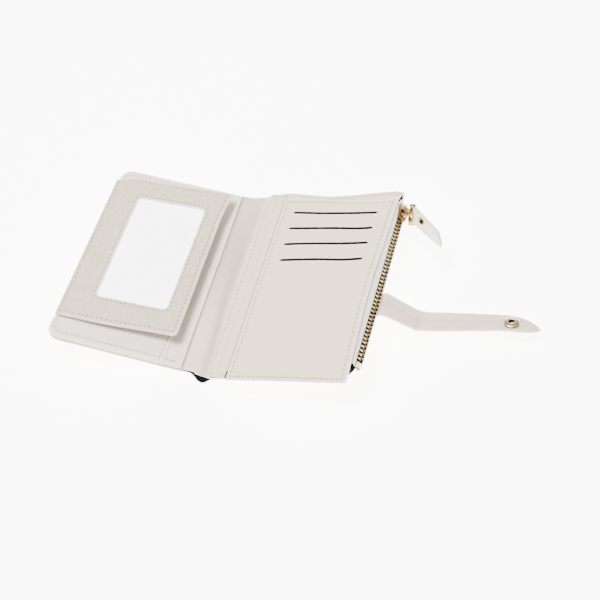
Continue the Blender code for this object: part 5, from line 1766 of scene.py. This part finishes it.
lo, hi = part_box("snap_stud")
_c = (lo + hi) / 2 / MM
_nl = LEFT.to_3x3() @ Vector((0, 0, 1))
ST = LEFT @ shift(*(LEFT.inverted() @ _c)[:2], -COVER_T / 2)
ob = lathe("snap_stud_post", ST, [(0.0, -0.05), (4.6, -0.05), (4.7, -0.22), (4.4, -0.40), (3.8, -0.55), (2.9, -0.55), (1.9, -0.60), (1.55, -0.75), (1.30, -1.10), (1.38, -1.45), (1.35, -1.65), (1.1, -1.78), (0.6, -1.83), (0.0, -1.84)][::-1], M_GOLD, 56, sharp=50)
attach(ob, "left_half"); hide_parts("snap_stud")

# ================================================================== floor, light, camera
me = bpy.data.meshes.new("floor")
me.from_pydata([(-6, -6, -0.0003), (6, -6, -0.0003), (6, 6, -0.0003), (-6, 6, -0.0003)], [], [(0, 1, 2, 3)])
floor = bpy.data.objects.new("floor", me)
bpy.context.scene.collection.objects.link(floor)
m, nt, bs = nodes_of("floor_white")
nn = add(nt, "ShaderNodeTexNoise")
nt.links.new(mapping(nt, (3, 3, 3)), nn.inputs["Vector"])
nt.links.new(ramp(nt, nn.outputs["Fac"], [(0.3, (0.95, 0.95, 0.95, 1)), (0.7, (0.96, 0.96, 0.96, 1))]), bs.inputs["Base Color"])
bs.inputs["Roughness"].default_value = 0.9
bs.inputs["Specular IOR Level"].default_value = 0.1
bs.inputs["Emission Color"].default_value = (1.0, 1.0, 1.0, 1)
bs.inputs["Emission Strength"].default_value = 7.0
me.materials.append(m)

world = bpy.context.scene.world or bpy.data.worlds.new("world")
bpy.context.scene.world = world
world.use_nodes = True
wt = world.node_tree
bg = wt.nodes["Background"]
wc = wt.nodes.new("ShaderNodeTexCoord")
wm = wt.nodes.new("ShaderNodeMapping")
wm.inputs["Rotation"].default_value = (0.5, 1.2, 0.3)
wg = wt.nodes.new("ShaderNodeTexGradient")
wr = wt.nodes.new("ShaderNodeValToRGB")
wt.links.new(wc.outputs["Generated"], wm.inputs["Vector"])
wt.links.new(wm.outputs["Vector"], wg.inputs["Vector"])
wt.links.new(wg.outputs["Fac"], wr.inputs["Fac"])
wr.color_ramp.elements[0].position, wr.color_ramp.elements[0].color = 0.10, (0.30, 0.30, 0.31, 1)
wr.color_ramp.elements[1].position, wr.color_ramp.elements[1].color = 0.55, (1.0, 1.0, 1.0, 1)
wt.links.new(wr.outputs["Color"], bg.inputs["Color"])
bg.inputs["Strength"].default_value = 0.8


def area(name, loc, target, size, power, color=(1, 1, 1)):
    d = bpy.data.lights.new(name, 'AREA')
    d.shape = 'RECTANGLE'
    d.size, d.size_y = size
    d.energy = power
    d.color = color
    o = bpy.data.objects.new(name, d)
    bpy.context.scene.collection.objects.link(o)
    o.location = loc
    o.rotation_euler = (Vector(target) - Vector(loc)).to_track_quat('-Z', 'Y').to_euler()
    return o


area("key", (-0.20, 0.08, 1.02), (0, 0, 0), (0.40, 0.40), 29.0, (1.0, 0.985, 0.965))
area("top", (0.1, 0.3, 1.1), (0, 0, 0), (1.2, 1.2), 5.0)

cam_d = bpy.data.cameras.new("camera")
cam_d.sensor_width = 36.0
cam_d.sensor_fit = 'HORIZONTAL'
cam_d.lens = 834.3 * 36.0 / 600.0
cam = bpy.data.objects.new("camera", cam_d)
bpy.context.scene.collection.objects.link(cam)
cr, cu, cb = Vector((0.9486, 0.2569, -0.18483)), Vector((-0.12657, 0.84322, 0.52245)), Vector((0.29007, -0.4722, 0.8324))
cb.normalize()
cr = (cr - cb * cr.dot(cb)).normalized()
cu = cb.cross(cr)
mw = Matrix.Identity(4)
for i, a in enumerate((cr, cu, cb)):
    for j in range(3):
        mw[j][i] = a[j]
mw.translation = Vector((149.19, -243.15, 418.21)) * MM
cam.matrix_world = mw
cam_d.clip_start = 0.01
cam_d.clip_end = 30
bpy.context.scene.camera = cam
